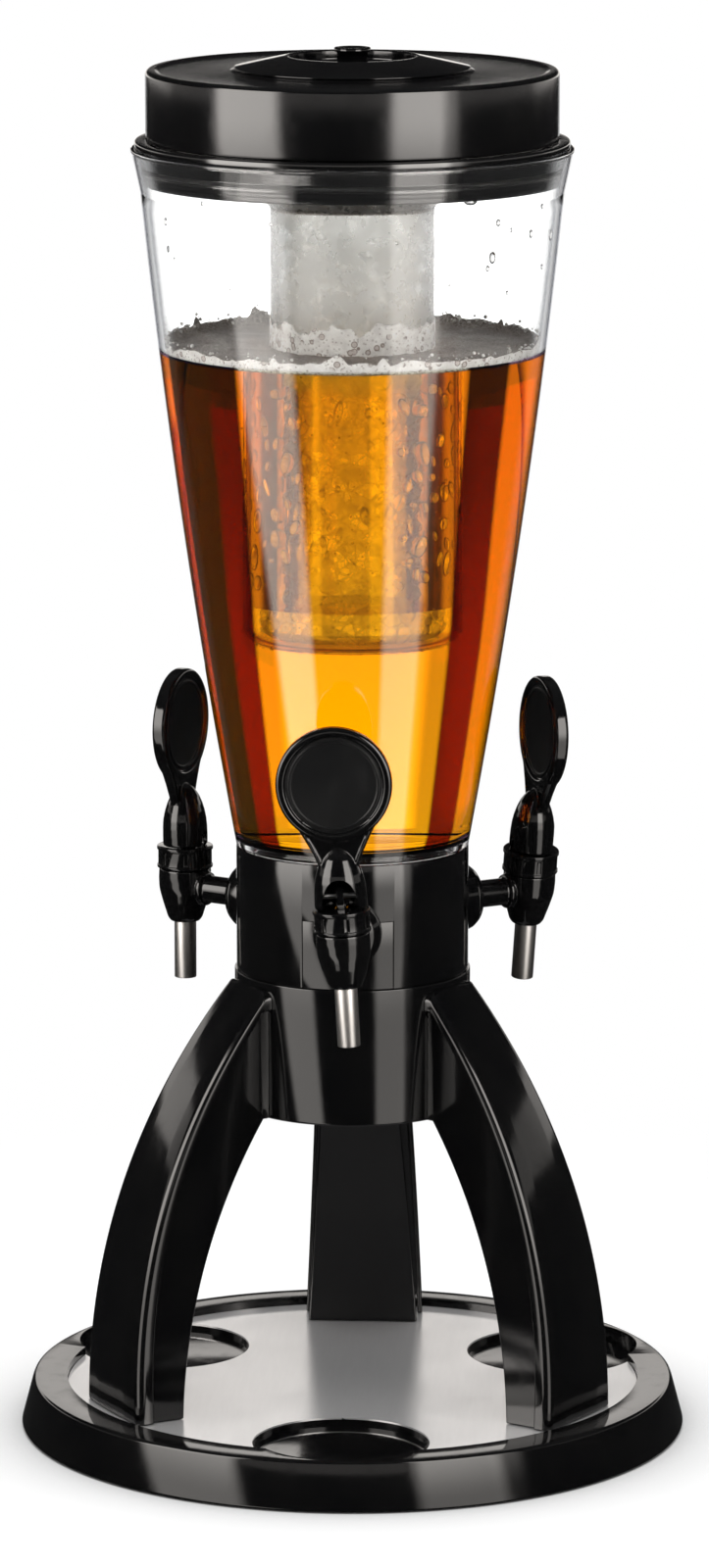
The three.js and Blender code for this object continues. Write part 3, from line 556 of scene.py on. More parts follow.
@dataclass(frozen=True)
class FrothSkin(Finish):
    """Pale froth pressed against a wall, with round bubbles that show the beer behind them."""

    pale: Colour = (0.94, 0.93, 0.90)
    shade: Colour = (0.76, 0.74, 0.71)
    bubble: Colour = (0.22, 0.16, 0.13)

    def surface(self, sheet: Sheet) -> Added:
        """The surface's shader."""
        big = sheet.cells(4.4)
        small = sheet.cells(1.9)
        rim = big.band(0.24, 0.29, 0.33, 0.39)
        inside = 1.0 - big.step(0.24, 0.30)
        dots = small.band(0.10, 0.16, 0.20, 0.28)
        some = sheet.noise(9, 2).step(0.42, 0.52)
        colour = sheet.blend(sheet.noise(5, 4).step(0.3, 0.7), self.pale, self.shade)
        colour = sheet.blend(dots * 0.55, colour, self.bubble)
        colour = sheet.blend(inside * some * 0.55, colour, (0.42, 0.33, 0.29))
        colour = sheet.blend(rim * some * 0.9, colour, self.bubble)
        body = sheet.add("BsdfPrincipled", {}, {
            "Base Color": colour, "Roughness": small * 0.1 + 0.25,
            "Normal": sheet.bump(big * 0.6 + small * 0.4, 0.3),
        })
        glow = sheet.add("BsdfTranslucent", {}, {"Color": colour})
        return sheet.mixed(0.12, body, glow)


@dataclass(frozen=True)
class CrushedIce(Finish):
    """Wet crushed ice: cloudy and pale, with clearer windows in it and a painted glow in a band from the
    froth's height upwards.
    """

    white: Colour = (0.95, 0.94, 0.91)
    grey: Colour = (0.84, 0.82, 0.79)
    clear_share: float = 0.60
    painted_glow_band: Band = (0.502, 0.520, 0.550, 0.590)

    def surface(self, sheet: Sheet) -> Added:
        """The surface's shader."""
        clouds = sheet.noise(9, 5)
        cracks = sheet.cells(8, "DISTANCE_TO_EDGE").step(0.0, 0.10)
        colour = sheet.blend(clouds.step(0.35, 0.7), self.white, self.grey)
        normal = sheet.bump(sheet.noise(6.0, 3), 0.35)
        # Painted light: in this band the ice glows though it is no lamp, and is less clear.
        in_painted_glow = sheet.place()[2].band(*self.painted_glow_band)
        body = sheet.add("BsdfPrincipled", {}, {
            "Base Color": colour,
            "Roughness": clouds * 0.25 + 0.08,
            "Normal": normal,
            # Painted light: the glow of the band.
            "Emission Color": sheet.blend(in_painted_glow, (0, 0, 0), (0.86, 0.84, 0.80)),
            "Emission Strength": 1.1,
        })
        glow = sheet.add("BsdfTranslucent", {}, {"Color": colour, "Normal": normal})
        solid = sheet.mixed(0.8, body, glow)
        clear = sheet.add("BsdfTransparent", {}, {"Color": (0.98, 0.97, 0.95, 1.0)})
        share = cracks * clouds.step(0.4, 0.6) * 0.25 + self.clear_share
        window = (share * (1.0 - in_painted_glow * 0.6)).clipped()
        return sheet.mixed(window, solid, clear)


class Finishes:
    """Every finish of the tower, made once."""

    def __init__(self) -> None:
        """Makes the materials."""
        self.gloss = MouldedPlastic("polished_black_plastic").material()
        self.satin = MouldedPlastic(
            "satin_black_plastic", gloss=0.125, grain=0.005, pale=(0.0065, 0.0062, 0.0062), shine=0.64,
        ).material()
        self.plug = MouldedPlastic("bright_black_plastic", gloss=0.09, shine=0.9).material()
        self.recess = MouldedPlastic(
            "grained_black_plastic", gloss=0.30, smear=0.08, grain=0.02, grain_size=0.5,
            dark=(0.006, 0.006, 0.0065), pale=(0.009, 0.009, 0.009), shine=0.35,
        ).material()
        self.plate = Steel(
            "brushed_steel_plate", colour=(0.90, 0.89, 0.89), rough=0.2, metal=0.55, relief=0.0003,
            streak=(0.08, 1.0, 0.08), wear=0.03, fade=0.97,
        ).material()
        self.spout = Steel(
            "brushed_steel_spout", colour=(0.50, 0.485, 0.47), rough=0.30, streak=(0.03, 0.03, 1.0),
            streak_size=20, relief=0.003, wear=0.12,
        ).material()
        self.zinc = Steel(
            "zinc_screw", colour=(0.5, 0.5, 0.51), rough=0.3, streak=(1, 1, 0.2), streak_size=2, relief=0.01,
        ).material()
        self.rubber = Rubber("black_rubber").material()
        # The clear plastics' edge colours are painted shade; the tube's flare bands are a painted reflection
        # and a painted shade line.
        self.clear = ClearPlastic("clear_container_plastic").material()
        self.tube = ClearPlastic(
            "clear_tube_plastic", tint=(0.97, 0.975, 0.97), edge=(0.55, 0.55, 0.55), wave=0.03, frost=0.34,
        ).material()
        self.beer = Beer("amber_beer").material()
        self.froth = Froth("beer_froth").material()
        self.froth_skin = FrothSkin("pale_froth").material()
        self.water = Water("clear_water").material()
        # The drop's dark rim colour is painted shade.
        self.drop = Water("water_drop", rim=(0.03, 0.03, 0.035)).material()
        self.bubble = Water("air_bubble", ior=0.76).material()
        self.ice = CrushedIce("crushed_ice").material()


# Shapes

@dataclass(frozen=True)
class Corner:
    """A corner of a turned profile, rounded by a fillet."""

    radius: float
    height: float
    fillet: float = 0.0
    steps: int = 5


def rounded(corners: list[Corner], closed: bool = False) -> list[Place]:
    """A profile with its corners rounded.

    Args:
        corners: the corners in order.
        closed: whether the last corner runs back to the first.

    Returns:
        The points of the profile.
    """
    points: list[Place] = []
    count = len(corners)
    for number, corner in enumerate(corners):
        here = Vector((corner.radius, corner.height))
        at_end = not closed and number in (0, count - 1)
        if corner.fillet <= 0 or at_end:
            points.append((here.x, here.y))
            continue
        last, following = corners[number - 1], corners[(number + 1) % count]
        before = Vector((last.radius, last.height)) - here
        after = Vector((following.radius, following.height)) - here
        half_turn = before.angle(after) / 2
        reach = min(corner.fillet / math.tan(half_turn), before.length * 0.49, after.length * 0.49)
        fillet = reach * math.tan(half_turn)
        before.normalize()
        after.normalize()
        centre = here + (before + after).normalized() * (fillet / math.sin(half_turn))
        start = here + before * reach - centre
        sweep = math.pi - 2 * half_turn
        end = here + after * reach - centre
        turn = 1 if start.x * end.y - start.y * end.x > 0 else -1
        for step in range(corner.steps + 1):
            angle = turn * sweep * step / corner.steps
            point = centre + Vector((
                start.x * math.cos(angle) - start.y * math.sin(angle),
                start.x * math.sin(angle) + start.y * math.cos(angle),
            ))
            points.append((point.x, point.y))
    return points


def bowed(start: Place, end: Place, bow: float, steps: int) -> list[Place]:
    """Points on a curve between two points that bows out to the right of its direction.

    Args:
        start: the first point.
        end: the last point.
        bow: the curve's height over the straight line.
        steps: how many steps the curve takes.

    Returns:
        The points, both ends among them.
    """
    first, last = Vector(start), Vector(end)
    along = (last - first).normalized()
    middle = (first + last) / 2 + Vector((along.y, -along.x)) * 2 * bow
    points = []
    for step in range(steps + 1):
        share = step / steps
        point = first * (1 - share) ** 2 + middle * 2 * share * (1 - share) + last * share ** 2
        points.append((point.x, point.y))
    return points


@dataclass
class Shell:
    """The points and faces of a body, in millimetres."""

    points: list[Vector] = field(default_factory=list)
    faces: list[tuple[int, ...]] = field(default_factory=list)

    def moved(self, matrix: Matrix) -> "Shell":
        """A copy moved by a matrix."""
        return Shell([matrix @ point for point in self.points], list(self.faces))

    def along_y(self) -> "Shell":
        """A copy laid down, so that what pointed up points to +Y."""
        return self.moved(Matrix.Rotation(-QUARTER, 4, "X"))

    def add(self, other: "Shell") -> "Shell":
        """Takes another body in, and returns itself."""
        start = len(self.points)
        self.points += other.points
        self.faces += [tuple(start + corner for corner in face) for face in other.faces]
        return self


def around(radius: float, angle: float, height: float = 0.0) -> Vector:
    """The point at a radius, an angle from the front and a height."""
    return Vector((radius * math.sin(angle), -radius * math.cos(angle), height))


def turned(profile: list[Place], steps: int = 128, closed: bool = False) -> Shell:
    """A profile of (radius, height) points turned about Z.

    Args:
        profile: the points; a point on the axis becomes a pole.
        steps: steps round the axis.
        closed: whether the profile closes on itself.

    Returns:
        The turned body.
    """
    shell = Shell()
    rings: list[list[int]] = []
    for radius, height in profile:
        start = len(shell.points)
        if radius < 1e-6:
            shell.points.append(Vector((0, 0, height)))
            rings.append([start])
            continue
        for step in range(steps):
            angle = 2 * math.pi * step / steps
            shell.points.append(around(radius, angle, height))
        rings.append(list(range(start, start + steps)))
    pairs = list(zip(rings, rings[1:])) + ([(rings[-1], rings[0])] if closed else [])
    for lower, upper in pairs:
        for step in range(steps):
            following = (step + 1) % steps
            if len(lower) == 1 and len(upper) == 1:
                break
            if len(lower) == 1:
                shell.faces.append((lower[0], upper[following], upper[step]))
            elif len(upper) == 1:
                shell.faces.append((lower[step], lower[following], upper[0]))
            else:
                shell.faces.append((lower[step], lower[following], upper[following], upper[step]))
    return shell


def lofted(rings: list[list[Vector]]) -> Shell:
    """Rings of points joined into one body with flat ends.

    Args:
        rings: rings of equal length.

    Returns:
        The lofted body.
    """
    count = len(rings[0])
    shell = Shell([point for ring in rings for point in ring])
    for number in range(len(rings) - 1):
        for step in range(count):
            following = (step + 1) % count
            low, high = number * count, (number + 1) * count
            shell.faces.append((low + step, low + following, high + following, high + step))
    shell.faces.append(tuple(reversed(range(count))))
    shell.faces.append(tuple(range((len(rings) - 1) * count, len(rings) * count)))
    return shell


def block(low: tuple[float, float, float], high: tuple[float, float, float]) -> Shell:
    """A box between two corners, as a cutter."""
    across, deep, tall = zip(low, high)
    points = [Vector((x, y, z)) for x in across for y in deep for z in tall]
    faces = [(0, 1, 3, 2), (4, 6, 7, 5), (0, 4, 5, 1), (2, 3, 7, 6), (0, 2, 6, 4), (1, 5, 7, 3)]
    return Shell(points, faces)


def bar(radius: float, bottom: float, top: float, steps: int = 64) -> Shell:
    """A round bar about Z, as a cutter."""
    return turned([(0, bottom), (radius, bottom), (radius, top), (0, top)], steps)


def bar_along(radius: float, start: float, end: float, steps: int = 64) -> Shell:
    """A round bar along Y, as a cutter."""
    return bar(radius, start, end, steps).along_y()


def about_z(angle: float) -> Matrix:
    """A turn about Z."""
    return Matrix.Rotation(angle, 4, "Z")


def shift(x: float = 0.0, y: float = 0.0, z: float = 0.0) -> Matrix:
    """A move."""
    return Matrix.Translation((x, y, z))


def in_metres(matrix: Matrix) -> Matrix:
    """The same move for an object in metres."""
    scaled = matrix.copy()
    scaled.translation = matrix.translation * MM
    return scaled


class Workshop:
    """Turns shells into Blender objects, cuts and softens them."""

    @staticmethod
    def mesh(name: str, shell: Shell) -> bpy.types.Mesh:
        """A mesh in metres with its faces turned outward.

        Args:
            name: the mesh's name.
            shell: the body.

        Returns:
            The mesh.
        """
        mesh = bpy.data.meshes.new(name)
        mesh.from_pydata([point * MM for point in shell.points], [], shell.faces)
        tool = bmesh.new()
        tool.from_mesh(mesh)
        bmesh.ops.recalc_face_normals(tool, faces=tool.faces)
        tool.to_mesh(mesh)
        tool.free()
        return mesh

    @classmethod
    def solid(cls, name: str, shell: Shell) -> bpy.types.Object:
        """An object from a shell."""
        piece = bpy.data.objects.new(name, cls.mesh(name, shell))
        bpy.context.scene.collection.objects.link(piece)
        return piece

    @staticmethod
    def settle(piece: bpy.types.Object) -> bpy.types.Object:
        """Makes the modifiers' result the piece's own mesh."""
        graph = bpy.context.evaluated_depsgraph_get()
        graph.update()
        mesh = bpy.data.meshes.new_from_object(piece.evaluated_get(graph))
        piece.modifiers.clear()
        old = piece.data
        piece.data = mesh
        if old.users == 0:
            bpy.data.meshes.remove(old)
        return piece

    @classmethod
    def carve(cls, piece: bpy.types.Object, cutter: Shell, operation: str = "DIFFERENCE") -> bpy.types.Object:
        """Cuts a piece with a shell, or joins the shell to it.

        Args:
            piece: the piece.
            cutter: the other body.
            operation: DIFFERENCE, UNION or INTERSECT.

        Returns:
            The piece.
        """
        other = cls.solid("cutter", cutter)
        modifier = piece.modifiers.new("carve", "BOOLEAN")
        modifier.operation = operation
        modifier.object = other
        modifier.solver = "EXACT"
        cls.settle(piece)
        mesh = other.data
        bpy.data.objects.remove(other)
        bpy.data.meshes.remove(mesh)
        return piece

    @classmethod
    def soften(
        cls, piece: bpy.types.Object, width: float, segments: int = 3, angle: float = 30,
    ) -> bpy.types.Object:
        """Rounds a piece's sharp edges.

        Args:
            piece: the piece.
            width: the rounding in millimetres.
            segments: steps across the rounding.
            angle: the least angle in degrees that counts as sharp.

        Returns:
            The piece.
        """
        modifier = piece.modifiers.new("soften", "BEVEL")
        modifier.width = width * MM
        modifier.segments = segments
        modifier.limit_method = "ANGLE"
        modifier.angle_limit = angle * DEGREE
        modifier.harden_normals = False
        modifier.miter_outer = "MITER_ARC"
        return cls.settle(piece)

    @classmethod
    def melt(cls, piece: bpy.types.Object, voxel: float, smoothing: int) -> bpy.types.Object:
        """Fuses a piece's overlapping bodies into one skin with small fillets.

        Args:
            piece: the piece.
            voxel: the skin's mesh size in millimetres.
            smoothing: how many times the skin is smoothed.

        Returns:
            The piece.
        """
        remesh = piece.modifiers.new("fuse", "REMESH")
        remesh.mode = "VOXEL"
        remesh.voxel_size = voxel * MM
        smooth = piece.modifiers.new("smooth", "SMOOTH")
        smooth.factor = 0.5
        smooth.iterations = smoothing
        return cls.settle(piece)

    @staticmethod
    def shade(piece: bpy.types.Object, material: bpy.types.Material, sharp: float = 40) -> bpy.types.Object:
        """Smooth shading, with edges sharper than an angle kept, and one material.

        Args:
            piece: the piece.
            material: its finish.
            sharp: the angle in degrees.

        Returns:
            The piece.
        """
        mesh = piece.data
        mesh.polygons.foreach_set("use_smooth", [True] * len(mesh.polygons))
        if sharp < 180:
            mesh.set_sharp_from_angle(angle=sharp * DEGREE)
        mesh.materials.clear()
        mesh.materials.append(material)
        mesh.update()
        return piece


def attach(piece: bpy.types.Object, body: str, slot: str, *nodes: str) -> None:
    """Lets a piece ride on a body and stand for CAD nodes.

    Args:
        piece: the piece, in place.
        body: the body's name.
        slot: the record's material slot; not used.
        nodes: the CAD nodes that it replaces.
    """
    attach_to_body(piece, body)
    if nodes:
        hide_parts(*nodes)
    log.info("%s rides on %s, %d faces", piece.name, body, len(piece.data.polygons))


def dressed(
    piece: bpy.types.Object, material: bpy.types.Material, body: str, slot: str, *nodes: str,
    sharp: float = 40,
) -> None:
    """Gives a piece its finish and its body."""
    attach(Workshop.shade(piece, material, sharp), body, slot, *nodes)


def placed(
    name: str, shell: Shell, material: bpy.types.Material, body: str, slot: str, *nodes: str,
    sharp: float = 40,
) -> None:
    """Builds a piece that needs no cutting, with its finish and its body."""
    dressed(Workshop.solid(name, shell), material, body, slot, *nodes, sharp=sharp)


# The stand

@dataclass
class Tray:
    """Round tray with a raised rim, a leaning skirt, three glass pockets and a steel plate."""

    top_radius: float = 154.0
    bottom_radius: float = 160.0
    well_radius: float = 137.8
    height: float = 23.6
    ground_gap: float = 0.8
    wall: float = 3.4
    deck_underside: float = 12.3
    plate_seat: float = 19.2
    plate_top: float = 20.0
    pocket_radius: float = 41.5
    pocket_pitch: float = 110.0
    pocket_floor: float = 15.5
    clearance: float = 0.3
    steps: int = 240

    def build(self, finishes: Finishes) -> None:
        """Builds the tray and its plate."""
        self._tray(finishes)
        self._plate(finishes)

    def _pockets(self, bottom: float, radius: float) -> list[Shell]:
        """The three pocket cutters."""
        cutter = bar(radius, bottom, self.height + 5, 160).moved(shift(y=-self.pocket_pitch))
        return [cutter.moved(about_z(turn)) for turn in (0, -THIRD, THIRD)]

    def _tray(self, finishes: Finishes) -> None:
        """The black moulding."""
        lean = (self.bottom_radius - self.top_radius) / self.height
        inner_bottom = self.bottom_radius - self.wall
        inner_top = self.bottom_radius - lean * self.deck_underside - self.wall
        profile = rounded([
            Corner(0, self.deck_underside),
            Corner(inner_top, self.deck_underside, 2.0),
            Corner(inner_bottom, self.ground_gap, 0.6, 3),
            Corner(self.bottom_radius, self.ground_gap, 0.9),
            Corner(self.top_radius, self.height, 1.8, 7),
            Corner(self.well_radius, self.height),
            Corner(self.well_radius, self.plate_seat),
            Corner(0, self.plate_seat),
        ])
        piece = Workshop.solid("tray", turned(profile, self.steps))
        for cutter in self._pockets(self.pocket_floor, self.pocket_radius):
            Workshop.carve(piece, cutter)
        Workshop.soften(piece, 0.8, 4)
        dressed(piece, finishes.gloss, Bodies.STAND.value, "gloss_black", "base_tray")

    def _plate(self, finishes: Finishes) -> None:
        """The bright plate."""
        radius = self.well_radius - self.clearance
        disc = bar(radius, self.plate_seat, self.plate_top, self.steps)
        piece = Workshop.solid("serving_plate_steel", disc)
        for cutter in self._pockets(self.plate_seat - 5, self.pocket_radius + 0.15):
            Workshop.carve(piece, cutter)
        Workshop.soften(piece, 0.2, 2)
        dressed(piece, finishes.plate, Bodies.STAND.value, "steel", "serving_plate")


@dataclass
class Leg:
    """One arched leg: a rounded outer band over two panels set in from its edges."""

    side: Side
    turn: float
    foot_radius: float = 128.5
    foot_depth: float = 24.9
    bottom: float = 20.3
    hub_radius: float = 56.3
    hub_bottom: float = 159.2
    top: float = 220.7
    outer_bow: float = 20.2
    inner_bow: float = 10.1
    foot_half_width: float = 29.0
    top_half_width: float = 19.5
    band_depth: float = 8.5
    band_round: float = 4.5
    crown: float = 1.2
    panel_inset: float = 2.0
    into_hub: float = 6.0
    foot_round: float = 1.6
    sections: int = 72

    def _section(self, depth: float, half: float) -> list[Place]:
        """The leg's outline as (depth from the inner edge, half width) points."""
        panel = half - self.panel_inset
        band = depth - self.band_depth
        corners = [
            Corner(0, 0), Corner(0, -panel, 1.0, 4), Corner(band, -panel, 0.7, 4),
            Corner(band, -half, 0.9, 5), Corner(depth, -half, self.band_round, 12),
            Corner(depth + self.crown * 0.75, -half * 0.5, 30, 6), Corner(depth + self.crown, 0),
        ]
        one = rounded(corners)
        other = [(u, -v) for u, v in reversed(one[1:-1])]
        return one + other

    def build(self, finishes: Finishes) -> None:
        """Builds the leg."""
        toe, heel = (self.foot_radius, self.bottom), (self.foot_radius - self.foot_depth, self.bottom)
        outer = bowed(toe, (self.hub_radius, self.top), self.outer_bow, self.sections)
        inner = bowed(heel, (self.hub_radius, self.hub_bottom), self.inner_bow, self.sections)
        rings = []
        for step, (far, near) in enumerate(zip(outer, inner)):
            share = step / self.sections
            start, end = Vector(near), Vector(far)
            depth = (end - start).length
            along = (end - start).normalized()
            half = self.foot_half_width + (self.top_half_width - self.foot_half_width) * share
            ring = []
            for u, v in self._section(depth, half):
                place = start + along * u
                ring.append(Vector((v, -place.x, place.y)))
            rings.append(ring)
        rings.append([point + Vector((0, self.into_hub, 0)) for point in rings[-1]])
        piece = Workshop.solid(f"leg_{self.side.value}_arch", lofted(rings))
        Workshop.carve(piece, bar(self.hub_radius + 0.3, self.hub_bottom - 10, self.top + 40, 192))
        tool = bmesh.new()
        tool.from_mesh(piece.data)
        foot = [
            edge for edge in tool.edges
            if all(abs(vertex.co.z - self.bottom * MM) < 1e-6 for vertex in edge.verts)
            and len(edge.link_faces) == 2 and edge.calc_face_angle(0) > 30 * DEGREE
        ]
        bmesh.ops.bevel(
            tool, geom=foot, offset=self.foot_round * MM, segments=5, profile=0.5, affect="EDGES",
            clamp_overlap=True,
        )
        tool.to_mesh(piece.data)
        tool.free()
        piece.matrix_world = about_z(self.turn)
        dressed(piece, finishes.gloss, Bodies.STAND.value, "gloss_black", f"leg_{self.side.value}", sharp=50)


@dataclass
class Hub:
    """Open-bottomed cup that the legs carry, with a spigot for the collar."""

    radius: float = 56.3
    bottom: float = 159.2
    top: float = 225.0
    wall: float = 3.0
    spigot_radius: float = 52.6
    spigot_top: float = 231.0
    spigot_wall: float = 2.1
    drain_radius: float = 20.0

    def build(self, finishes: Finishes) -> None:
        """Builds the hub."""
        inside = self.radius - self.wall
        spigot_inside = self.spigot_radius - self.spigot_wall
        profile = rounded([
            Corner(inside, self.bottom, 0.6, 3),
            Corner(self.radius, self.bottom, 1.2),
            Corner(self.radius, self.top, 0.6, 4),
            Corner(self.spigot_radius, self.top),
            Corner(self.spigot_radius, self.spigot_top, 0.4, 3),
            Corner(spigot_inside, self.spigot_top),
            Corner(spigot_inside, self.top),
            Corner(self.drain_radius, self.top, 0.8, 3),
            Corner(self.drain_radius, self.top - self.wall, 0.8, 3),
            Corner(inside, self.top - self.wall, 2.0),
        ], closed=True)
        placed(
            "hub_cup", turned(profile, 192, closed=True),
            finishes.gloss, Bodies.STAND.value, "gloss_black", "hub",
        )


@dataclass
class Collar:
    """Ring round the container's neck with a slot under each tap, each closed by an insert."""

    outer: float = 55.4
    inner: float = 52.9
    bottom: float = 225.3
    top: float = 284.7
    slot_half_width: float = 21.5
    slot_top: float = 257.6
    shank_height: float = 253.0
    hole_radius: float = 6.3
    turns: tuple[float, ...] = (0.4 * DEGREE, 0.4 * DEGREE - THIRD, 0.4 * DEGREE + THIRD)

    def _ring(self) -> Shell:
        """The plain ring."""
        return turned([
            (self.inner, self.bottom), (self.outer, self.bottom),
            (self.outer, self.top), (self.inner, self.top),
        ], 240, closed=True)

    def _slot(self, fit: float, bottom: float) -> Shell:
        """The slot's cutter at the front."""
        half = self.slot_half_width + fit
        return block((-half, -self.outer - 5, bottom), (half, -self.inner / 2, self.slot_top + fit))

    def build(self, finishes: Finishes) -> None:
        """Builds the collar and its three inserts."""
        hole = bar_along(self.hole_radius, -self.outer - 5, -self.inner + 5).moved(shift(z=self.shank_height))
        ring = Workshop.solid("collar_ring", self._ring())
        for turn in self.turns:
            Workshop.carve(ring, self._slot(0.15, self.bottom - 5).moved(about_z(turn)))
            Workshop.carve(ring, hole.moved(about_z(turn)))
        Workshop.soften(ring, 0.3, 2, 40)
        dressed(ring, finishes.gloss, Bodies.STAND.value, "satin_black", "collar")
        for name, turn in zip((Side.FRONT, Side.LEFT, Side.RIGHT), self.turns):
            insert = Workshop.solid(f"collar_closure_{name.value}", self._ring())
            Workshop.carve(insert, self._slot(-0.15, self.bottom), "INTERSECT")
            Workshop.carve(insert, hole)
            Workshop.soften(insert, 0.25, 2, 40)
            insert.matrix_world = about_z(turn)
            dressed(insert, finishes.gloss, Bodies.STAND.value, "satin_black", f"collar_insert_{name.value}")


# The container and the drink

@dataclass
class Container:
    """Clear flared vessel with a rim band and a neck inside the collar."""

    neck_radius: float = 50.2
    neck_bottom: float = 225.3
    neck_floor: float = 3.0
    base: float = 285.0
    base_radius: float = 55.4
    flare_top: float = 597.0
    flare_radius: float = 99.5
    sag: float = 3.15
    wall: float = 3.0
    rim_radius: float = 103.5
    rim_top: float = 617.7
    lip: float = 0.6
    lip_height: float = 1.9
    shoulder: float = 292.5
    neck_top: float = 289.0

    def flare(self, inset: float, steps: int = 48) -> list[Place]:
        """Points up the flare, set in by a wall."""
        curve = bowed((self.base_radius, self.base), (self.flare_radius, self.flare_top), self.sag, steps)
        return [(radius - inset, height) for radius, height in curve]

    def radius_at(self, height: float, inset: float = 0.0) -> float:
        """The flare's radius at a height, set in by a wall."""
        curve = self.flare(inset, 96)
        for (low_radius, low), (high_radius, high) in zip(curve, curve[1:]):
            if low <= height <= high:
                return low_radius + (high_radius - low_radius) * (height - low) / (high - low)
        return curve[-1][0]

    def build(self, finishes: Finishes) -> None:
        """Builds the vessel."""
        neck_inside = self.neck_radius - self.wall
        inside = [point for point in reversed(self.flare(self.wall)) if point[1] > self.shoulder + 4]
        outline = [Corner(0, self.neck_bottom), Corner(self.neck_radius, self.neck_bottom, 1.5),
                   Corner(self.neck_radius, self.base, 0.5, 3), Corner(self.base_radius, self.base, 0.8, 4)]
        outline += [Corner(radius, height) for radius, height in self.flare(0)[1:-1]]
        outline += [
            Corner(self.flare_radius, self.flare_top, 3.0, 4),
            Corner(self.rim_radius, self.rim_top - self.lip_height, 0.8, 4),
            Corner(self.rim_radius + self.lip, self.rim_top - self.lip_height * 0.75, 0.3, 3),
            Corner(self.rim_radius + self.lip, self.rim_top - 0.3, 0.5, 4),
            Corner(self.rim_radius - 0.3, self.rim_top, 0.4, 3),
            Corner(self.rim_radius - self.wall, self.rim_top, 0.8, 4),
            Corner(self.rim_radius - self.wall, self.rim_top - self.lip_height, 0.8, 4),
        ]
        outline += [Corner(radius, height) for radius, height in inside]
        outline += [
            Corner(self.base_radius - self.wall + 0.3, self.shoulder, 3.0, 5),
            Corner(neck_inside, self.neck_top, 1.5, 5),
            Corner(neck_inside, self.neck_bottom + self.neck_floor, 2.0, 5),
            Corner(0, self.neck_bottom + self.neck_floor),
        ]
        placed(
            "container_vessel", turned(rounded(outline), 240),
            finishes.clear, Bodies.STAND.value, "clear", "container", "container_floor", sharp=60,
        )


def sleeve(
    span: Callable[[float], Span], radius: Callable[[float, float], float], thick: float,
    steps: int, rows: int,
) -> Shell:
    """A thin closed sleeve round the tower with ragged ends.

    Args:
        span: its lower and upper height at an angle.
        radius: its radius at a height and a depth from its outside.
        thick: its thickness.
        steps: steps round the tower.
        rows: steps up.

    Returns:
        The sleeve.
    """
    shell = Shell()
    for layer in (0.0, thick):
        for row in range(rows + 1):
            for step in range(steps):
                angle = math.tau * step / steps
                low, high = span(angle)
                height = low + (high - low) * row / rows
                shell.points.append(around(radius(height, layer), angle, height))
    inside = (rows + 1) * steps
    for step in range(steps):
        following = (step + 1) % steps
        for row in range(rows):
            low, high = row * steps, (row + 1) * steps
            shell.faces.append((low + step, low + following, high + following, high + step))
            back = (low + step, high + step, high + following, low + following)
            shell.faces.append(tuple(inside + place for place in back))
        for row in (0, rows * steps):
            shell.faces.append((row + step, row + following, inside + row + following, inside + row + step))
    return shell


